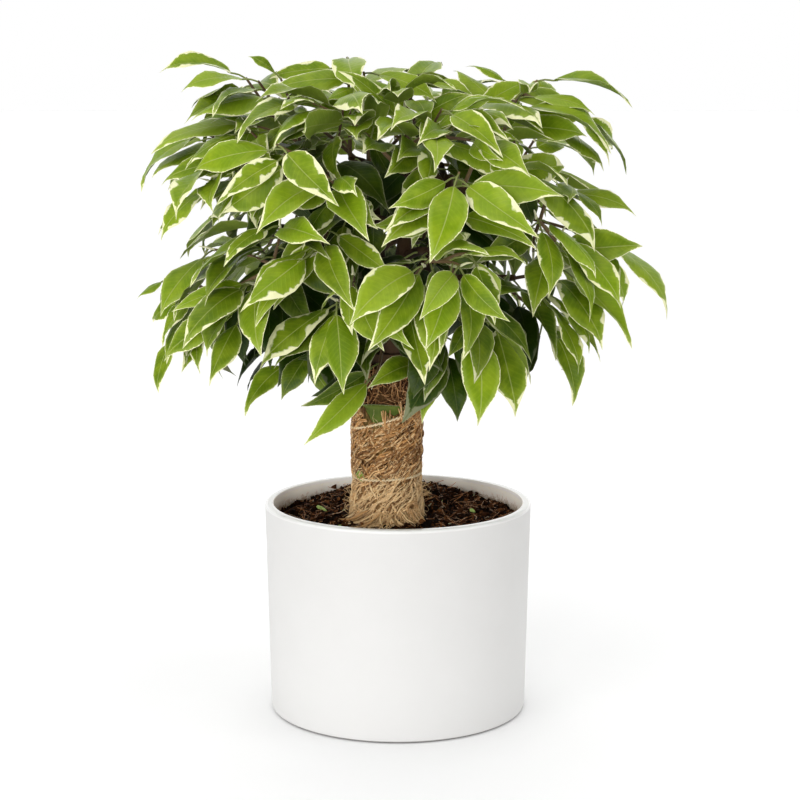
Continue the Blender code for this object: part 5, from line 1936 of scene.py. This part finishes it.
def bundle(start, top, draw):
    """Fibres that run side by side and over one another along one line."""
    strands = []
    line = strand_line(*start, top)
    for _ in range(NET_FIBRES):
        across = draw.uniform(-1.0, 1.0) * NET_BUNDLE_WIDTH
        out = draw.uniform(0.05, 1.0) * NET_RELIEF
        thickness = straw_thickness(draw)
        first = draw.randrange(0, 4)
        last = len(line) - draw.randrange(0, 4)
        phase = draw.uniform(0.0, math.tau)
        points = []
        for k, (angle, height) in enumerate(line[first:last]):
            slope = net_slope(height)
            off = across + 0.8 * MM * math.sin(1.1 * k + phase) + draw.uniform(-0.4, 0.4) * MM
            turn = angle - off * math.sin(slope) / wrap_radius(height)
            level = min(height + off * math.cos(slope), straw_top(turn) + draw.uniform(-0.5, 1.2) * MM)
            if in_hollow(turn, level):
                break
            points.append(on_wrap(turn, level, out + 0.35 * MM * math.sin(1.5 * k + 2 * phase)))
        if len(points) > 2:
            middle = points[len(points) // 2].z
            fate = (draw.random(), paler(middle) * draw.uniform(0.62, 1.0), draw.random())
            strands.append(even_strand(points, thickness, fate))
    return strands


def crossing_fibre(draw):
    """A short stiff fibre across the bundles."""
    angle = draw.uniform(0.0, math.tau)
    height = draw.uniform(SOIL_LEVEL - 3 * MM, NET_TOP)
    slope = draw.choice(CROSSING_SLOPES) + draw.uniform(-0.35, 0.35)
    out = draw.uniform(0.2, 1.3) * NET_RELIEF
    bow = draw.uniform(-0.3, 0.7) * MM
    points = wrap_fibre(angle, height, draw.uniform(4, 11) * MM, slope, out, bow, 0.25, draw)
    points = [point for point in points if point.z < straw_top(angle) + 1.0 * MM]
    angles = [math.atan2(point.y - TRUNK_AXIS.y, point.x - TRUNK_AXIS.x) for point in points]
    if any(in_hollow(angle, point.z) for angle, point in zip(angles, points)):
        points = []
    thickness = straw_thickness(draw)
    fate = (draw.random(), paler(height) * draw.uniform(0.62, 1.0), draw.random())
    return Strand(points, [thickness * 0.6] + [thickness] * max(0, len(points) - 2) + [thickness * 0.5], fate)


def wisp(draw, low, high, reach):
    """A thin stray fibre that curls off the wrapping."""
    angle = draw.uniform(0.0, math.tau)
    height = draw.uniform(low, high)
    length = draw.uniform(4, 10) * MM
    slope = draw.uniform(-0.8, 2.2)
    bow = draw.uniform(0.3, 1.0) * reach
    points = wrap_fibre(angle, height, length, slope, 0.6 * MM, bow, 0.8, draw)
    fate = (draw.uniform(0.5, 1.0), 0.7, draw.random())
    return Strand(points, tapered(0.11 * MM, 0.05 * MM, len(points)), fate)


def frayed_loop(draw):
    """Strands wound round a hollow, low on the right."""
    strands = []
    for _ in range(LOOP_FIBRES):
        radius = draw.uniform(*LOOP_RADII)
        first = draw.uniform(0.0, math.tau)
        span = draw.uniform(1.2, 3.0)
        aside = draw.gauss(0, 0.9) * MM
        above = draw.gauss(0, 0.9) * MM
        out = draw.uniform(0.6, 2.0) * NET_RELIEF
        points = []
        for k in range(LOOP_POINTS):
            turn = first + span * k / (LOOP_POINTS - 1)
            angle = LOOP_PLACE[0] + (aside + radius * math.cos(turn)) / WRAP_RADIUS
            height = LOOP_PLACE[1] + above + radius * 0.75 * math.sin(turn)
            points.append(on_wrap(angle, height, out + draw.uniform(-0.15, 0.15) * MM))
        thickness = draw.uniform(*NET_THICKNESS) * 0.8
        strands.append(even_strand(points, thickness, (draw.uniform(0.3, 1.0), 0.3, draw.random())))
    return strands


def foot_straws():
    """Straws that splay from the netting's foot over the soil, longest at the front."""
    draw = random.Random(SEED + 31)
    strands = []
    for _ in range(FOOT_STRAWS):
        angle = math.radians(draw.uniform(*FOOT_ANGLES))
        start = SOIL_LEVEL + draw.uniform(1.5, 9.0) * MM
        frontal = math.cos(angle + math.pi / 2)
        reach = draw.uniform(0.3, 1.0) * FOOT_REACH * (0.06 + 0.94 * frontal ** 2.5)
        lean = draw.uniform(-0.60, 0.15) * frontal
        lift = draw.uniform(0.9, 2.4) * MM
        radius = wrap_radius(start) - WRAP_INSET + draw.uniform(0.1, 0.8) * NET_RELIEF
        points = []
        for k in range(FOOT_POINTS):
            share = k / (FOOT_POINTS - 1)
            point = around(TRUNK_AXIS, radius + reach * share ** 1.4, angle + lean * share, start)
            ground = bank_height(point.x, point.y) + lift
            point.z = start + (ground - start) * eased(share)
            points.append(point)
        thickness = straw_thickness(draw)
        widths = [thickness] * (FOOT_POINTS - 1) + [thickness * 0.5]
        strands.append(Strand(points, widths, (draw.random(), draw.uniform(0.1, 1.0), draw.random())))
    return strands


def standing_straws(draw):
    """Straws that stand up in front of the netting's edge, by the tucked leaf."""
    strands = []
    for first, last, top, count in STANDING_STRAWS:
        for _ in range(count):
            length = draw.uniform(5, 11) * MM
            angle = math.radians(draw.uniform(first, last))
            height = (top + draw.uniform(-5, 0.5)) * MM - length
            slope = math.pi / 2 + draw.uniform(-0.35, 0.35)
            out = draw.uniform(0.7, 1.5) * NET_RELIEF
            points = wrap_fibre(angle, height, length, slope, out, 0.3 * MM, 0.12, draw)
            thickness = straw_thickness(draw) * 0.6
            strands.append(even_strand(points, thickness, own_fate(draw, 0.1)))
    return strands


def make_net(straw, backing, rod):
    """Backing, slanting bundles of straw, then short crossing fibres and stray wisps."""
    draw = random.Random(SEED + 30)
    reach = NET_TOP + NET_SLANT - WRAP_FOOT
    levels = [WRAP_FOOT + reach * i / (NET_LEVELS - 1) for i in range(NET_LEVELS)]
    wall = round_wall("net_backing", levels, [-0.25 * MM] * NET_LEVELS, straw_top, 96, backing)
    place(wall, "straw_netting", "netting")
    strands = []
    for i in range(NET_BUNDLES):
        angle = math.tau * (i + draw.uniform(-0.3, 0.3)) / NET_BUNDLES
        height = SOIL_LEVEL - 5 * MM
        while height < NET_TOP - 8 * MM:
            top = height + draw.uniform(18, 34) * MM
            strands += bundle((angle, height), top, draw)
            climb = 0.5 * (top - height)
            angle += climb / (math.tan(net_slope(height)) * WRAP_RADIUS) + draw.uniform(-0.1, 0.1)
            height += climb
    place(rods("net_strands", strands, 5, 2, straw, rod), "straw_netting")
    crossing = [crossing_fibre(draw) for _ in range(NET_CROSSINGS)]
    crossing += [wisp(draw, SOIL_LEVEL, NET_TOP, 1.6 * MM) for _ in range(NET_WISPS)]
    crossing += [wisp(draw, SOIL_LEVEL, WAIST_HEIGHT - 6 * MM, 6.5 * MM) for _ in range(LOW_WISPS)]
    crossing += frayed_loop(draw)
    crossing += standing_straws(draw)
    crossing += foot_straws()
    crossing = [strand for strand in crossing if len(strand.points) > 2]
    place(rods("net_crossings", crossing, 4, 2, straw, rod), "straw_netting")


def make_sleeve(coir, felt, rod):
    """Coconut fibre above the netting: felt, then tangled fibres."""
    draw = random.Random(SEED + 40)
    levels = [WRAP_FOOT + (SLEEVE_TOP - WRAP_FOOT) * i / (SLEEVE_LEVELS - 1) for i in range(SLEEVE_LEVELS)]
    outs = [-SLEEVE_INSET - 0.3 * MM] * (SLEEVE_LEVELS - 1) + [-SLEEVE_INSET - 2.0 * MM]
    place(round_wall("coir_felt", levels, outs, None, 72, felt), "coir", "coir_sleeve")
    strands = []
    for _ in range(COIR_FIBRES):
        angle = draw.uniform(0.0, math.tau)
        height = draw.uniform(NET_TOP - 9 * MM, SLEEVE_TOP - 2 * MM)
        length = draw.uniform(3, 11) * MM
        out = draw.uniform(-0.3, 1.1) * MM - SLEEVE_INSET
        slope = draw.uniform(-0.5, 2.6)
        bow = draw.uniform(0.0, 1.0) * MM
        points = wrap_fibre(angle, height, length, slope, out, bow, 0.5, draw)
        points = [point for point in points if point.z < SLEEVE_TOP + 1.5 * MM]
        if len(points) > 2:
            thickness = draw.uniform(0.11, 0.30) * MM
            strands.append(even_strand(points, thickness, own_fate(draw)))
    place(rods("coir_fibres", strands, 4, 2, coir, rod), "coir")


def make_tie(name, height, rise, node, twine, rod):
    """Two-ply twine drawn tight round the netting, a little askew."""
    strands = []
    for ply in (0.0, math.pi):
        points = []
        for j in range(TWINE_POINTS + 2):
            angle = math.tau * j / TWINE_POINTS
            level = height + rise * math.cos(angle)
            radius = wrap_radius(level) - WRAP_INSET + NET_RELIEF + 0.1 * MM * math.sin(7 * angle)
            turn = TWINE_TURNS * angle + ply
            middle = around(TRUNK_AXIS, radius + TWINE_PLY * math.cos(turn), angle, level)
            points.append(middle + UP * (TWINE_PLY * math.sin(turn)))
        strands.append(even_strand(points, TWINE_PLY * 1.15, (0.5, 0.0, 0.5)))
    place(rods(name, strands, 6, 2, twine, rod), "twine", node)


def bent_blade(name, angles, edges, out, tone, node, blade):
    """A blade bent round the wrapping, underside out, between two edges given along its length."""
    columns = 24
    rows = (-1.0, -0.7, -0.35, 0.0, 0.35, 0.7, 1.0)
    points = []
    marks = []
    for side in (1, -1):
        for i in range(columns + 1):
            share = i / columns
            angle = angles[0] + (angles[1] - angles[0]) * share
            top, bottom = between(edges, share)
            half = (top - bottom) / 2 * MM
            for row in rows:
                height = (top + bottom) / 2 * MM + row * half
                lift = 0.35 * MM * math.sin(7 * share + 1.5 * row) * abs(row)
                radius = WRAP_RADIUS - WRAP_INSET + out + lift + side * 0.12 * MM
                points.append(around(TRUNK_AXIS, radius, angle, height))
                marks.append((row, share, half * (1 - abs(row))))
    width = len(rows)
    sheet = (columns + 1) * width
    faces = []
    for i in range(columns):
        for j in range(width - 1):
            a = i * width + j
            b = a + sheet
            faces.append((a, a + width, a + width + 1, a + 1))
            faces.append((b, b + 1, b + width + 1, b + width))
        for j in (0, width - 1):
            a = i * width + j
            faces.append((a, a + sheet, a + sheet + width, a + width))
    for a in list(range(width - 1)) + [columns * width + j for j in range(width - 1)]:
        faces.append((a, a + 1, a + 1 + sheet, a + sheet))
    mesh = closed_mesh(name, points, faces)
    blade_map = mesh.uv_layers.new(name="blade")
    reach = mesh.uv_layers.new(name="reach")
    for face in mesh.polygons:
        for corner in face.loop_indices:
            row, share, to_margin = marks[mesh.loops[corner].vertex_index]
            blade_map.data[corner].uv = (CHART_UNDER + CHART_HALF * row, 0.06 + 0.8 * share)
            reach.data[corner].uv = (to_margin / LEAF_LENGTH, 0.5)
    write_attribute(mesh, "fate", "FLOAT_VECTOR", [(tone, 0.0, 0.3)] * len(points))
    place(shown(name, mesh, blade), "leaf_green", *node)


def between(knots, share):
    """Values between knots, each a share followed by its values."""
    for low, high in zip(knots, knots[1:]):
        if share <= high[0]:
            part = (share - low[0]) / (high[0] - low[0])
            return [first + (second - first) * part for first, second in zip(low[1:], high[1:])]
    return list(knots[-1][1:])


# Stage

def add_floor(finish):
    finish.node_tree.nodes["Principled BSDF"].inputs["Emission Strength"].default_value = FLOOR_GLOW
    mesh = bpy.data.meshes.new("floor")
    far = FLOOR_REACH
    corners = [(-far, -far, 0.0), (far, -far, 0.0), (far, far, 0.0), (-far, far, 0.0)]
    mesh.from_pydata(corners, [], [(0, 1, 2, 3)])
    shown("floor", mesh, finish)


def add_sky():
    """A studio dome: white behind, brighter overhead, and dim in front."""
    world = bpy.data.worlds.new("studio")
    world.use_nodes = True
    bpy.context.scene.world = world
    sheet = Sheet(world.node_tree)
    x, y, z = sheet.parts(sheet.node("ShaderNodeTexCoord", output="Generated"))
    seen_by_camera = sheet.node("ShaderNodeLightPath", output="Is Camera Ray")
    reflected = sheet.node("ShaderNodeLightPath", output="Is Glossy Ray")
    up = sheet.ease(z, *SKY_OVERHEAD)
    behind = sheet.ease(y, *SKY_BEHIND)
    low = SKY_FRONT + (SKY_BACK - SKY_FRONT) * behind
    glow = low + (SKY_TOP - low) * up
    low = SHINE_FRONT + (SHINE_BACK - SHINE_FRONT) * behind
    across, along = SHINE_LEAN
    shine = low + (SHINE_TOP - low) * sheet.ease(z - across * x - along * y, *SHINE_OVERHEAD)
    power = glow * (1.0 - reflected) + shine * reflected
    power = power * (1.0 - seen_by_camera) + seen_by_camera
    sheet.feed(world.node_tree.nodes["Background"], {"Strength": power, "Color": (1.0, 1.0, 1.0, 1.0)})


def add_lamp(name, place, target, size, power):
    lamp = bpy.data.lights.new(name, "AREA")
    lamp.shape = "DISK"
    lamp.size = size
    lamp.energy = power
    holder = bpy.data.objects.new(name, lamp)
    holder.location = place
    holder.rotation_euler = (Vector(target) - Vector(place)).to_track_quat("-Z", "Y").to_euler()
    bpy.context.scene.collection.objects.link(holder)


def add_camera():
    camera = bpy.data.cameras.new("camera")
    camera.lens = CAMERA_LENS
    camera.sensor_width = 36.0
    camera.clip_start = 0.05
    holder = bpy.data.objects.new("camera", camera)
    holder.location = CAMERA_PLACE
    holder.rotation_euler = (math.pi / 2 - CAMERA_PITCH, 0.0, 0.0)
    bpy.context.scene.collection.objects.link(holder)
    bpy.context.scene.camera = holder


def main():
    scatter = scatter_tree()
    rod = rod_tree()
    blade = surface("leaf_green", paint_leaf)
    bark = surface("fig_bark", paint_bark)
    skin = surface("twig_bark", paint_twig)
    stalk_skin = surface("leaf_stalk", paint_stalk)
    straw = surface("straw", paint_fibre(*STRAW))
    coir = surface("coir_fibre", paint_fibre(*COIR))
    root_fibre = surface("soil_fibre", paint_fibre(*SOIL_FIBRE))
    backing = surface("straw_backing", paint_backing(*STRAW_BACKING))
    felt = surface("coir_felt", paint_backing(*COIR_FELT))
    twine = surface("twine", paint_twine)
    mix = surface("potting_soil", paint_soil)
    scraps = surface("scraps", paint_scrap)
    glaze = surface("white_ceramic", paint_pot)
    make_pot(glaze)
    make_soil(mix, scraps, scatter, rod, root_fibre)
    make_sleeve(coir, felt, rod)
    make_net(straw, backing, rod)
    make_tie("lower_twine", WAIST_HEIGHT, LOWER_TIE_RISE, "lower_tie", twine, rod)
    make_tie("upper_twine", UPPER_TIE_HEIGHT, UPPER_TIE_RISE, "upper_tie", twine, rod)
    bent_blade("tucked_blade", TUCKED_LEAF_ANGLES, TUCKED_LEAF_EDGES, TUCKED_LEAF_OUT, 0.30,
               ["tucked_leaf"], blade)
    bent_blade("leaf_scrap", SCRAP_ANGLES, SCRAP_EDGES, 0.4 * NET_RELIEF, 0.55, [], blade)
    make_crown(bark, skin, stalk_skin, blade, scatter, rod)
    add_floor(surface("floor", paint_floor))
    add_sky()
    add_lamp("key", KEY_PLACE, TRUNK_AXIS + UP * NET_TOP, KEY_SIZE, KEY_POWER)
    add_lamp("fill", FILL_PLACE, TRUNK_AXIS + UP * NET_TOP, FILL_SIZE, FILL_POWER)
    add_lamp("front", FRONT_PLACE, TRUNK_AXIS + UP * SOIL_LEVEL, FRONT_SIZE, FRONT_POWER)
    add_camera()
    bpy.context.scene.view_settings.view_transform = "Standard"


main()
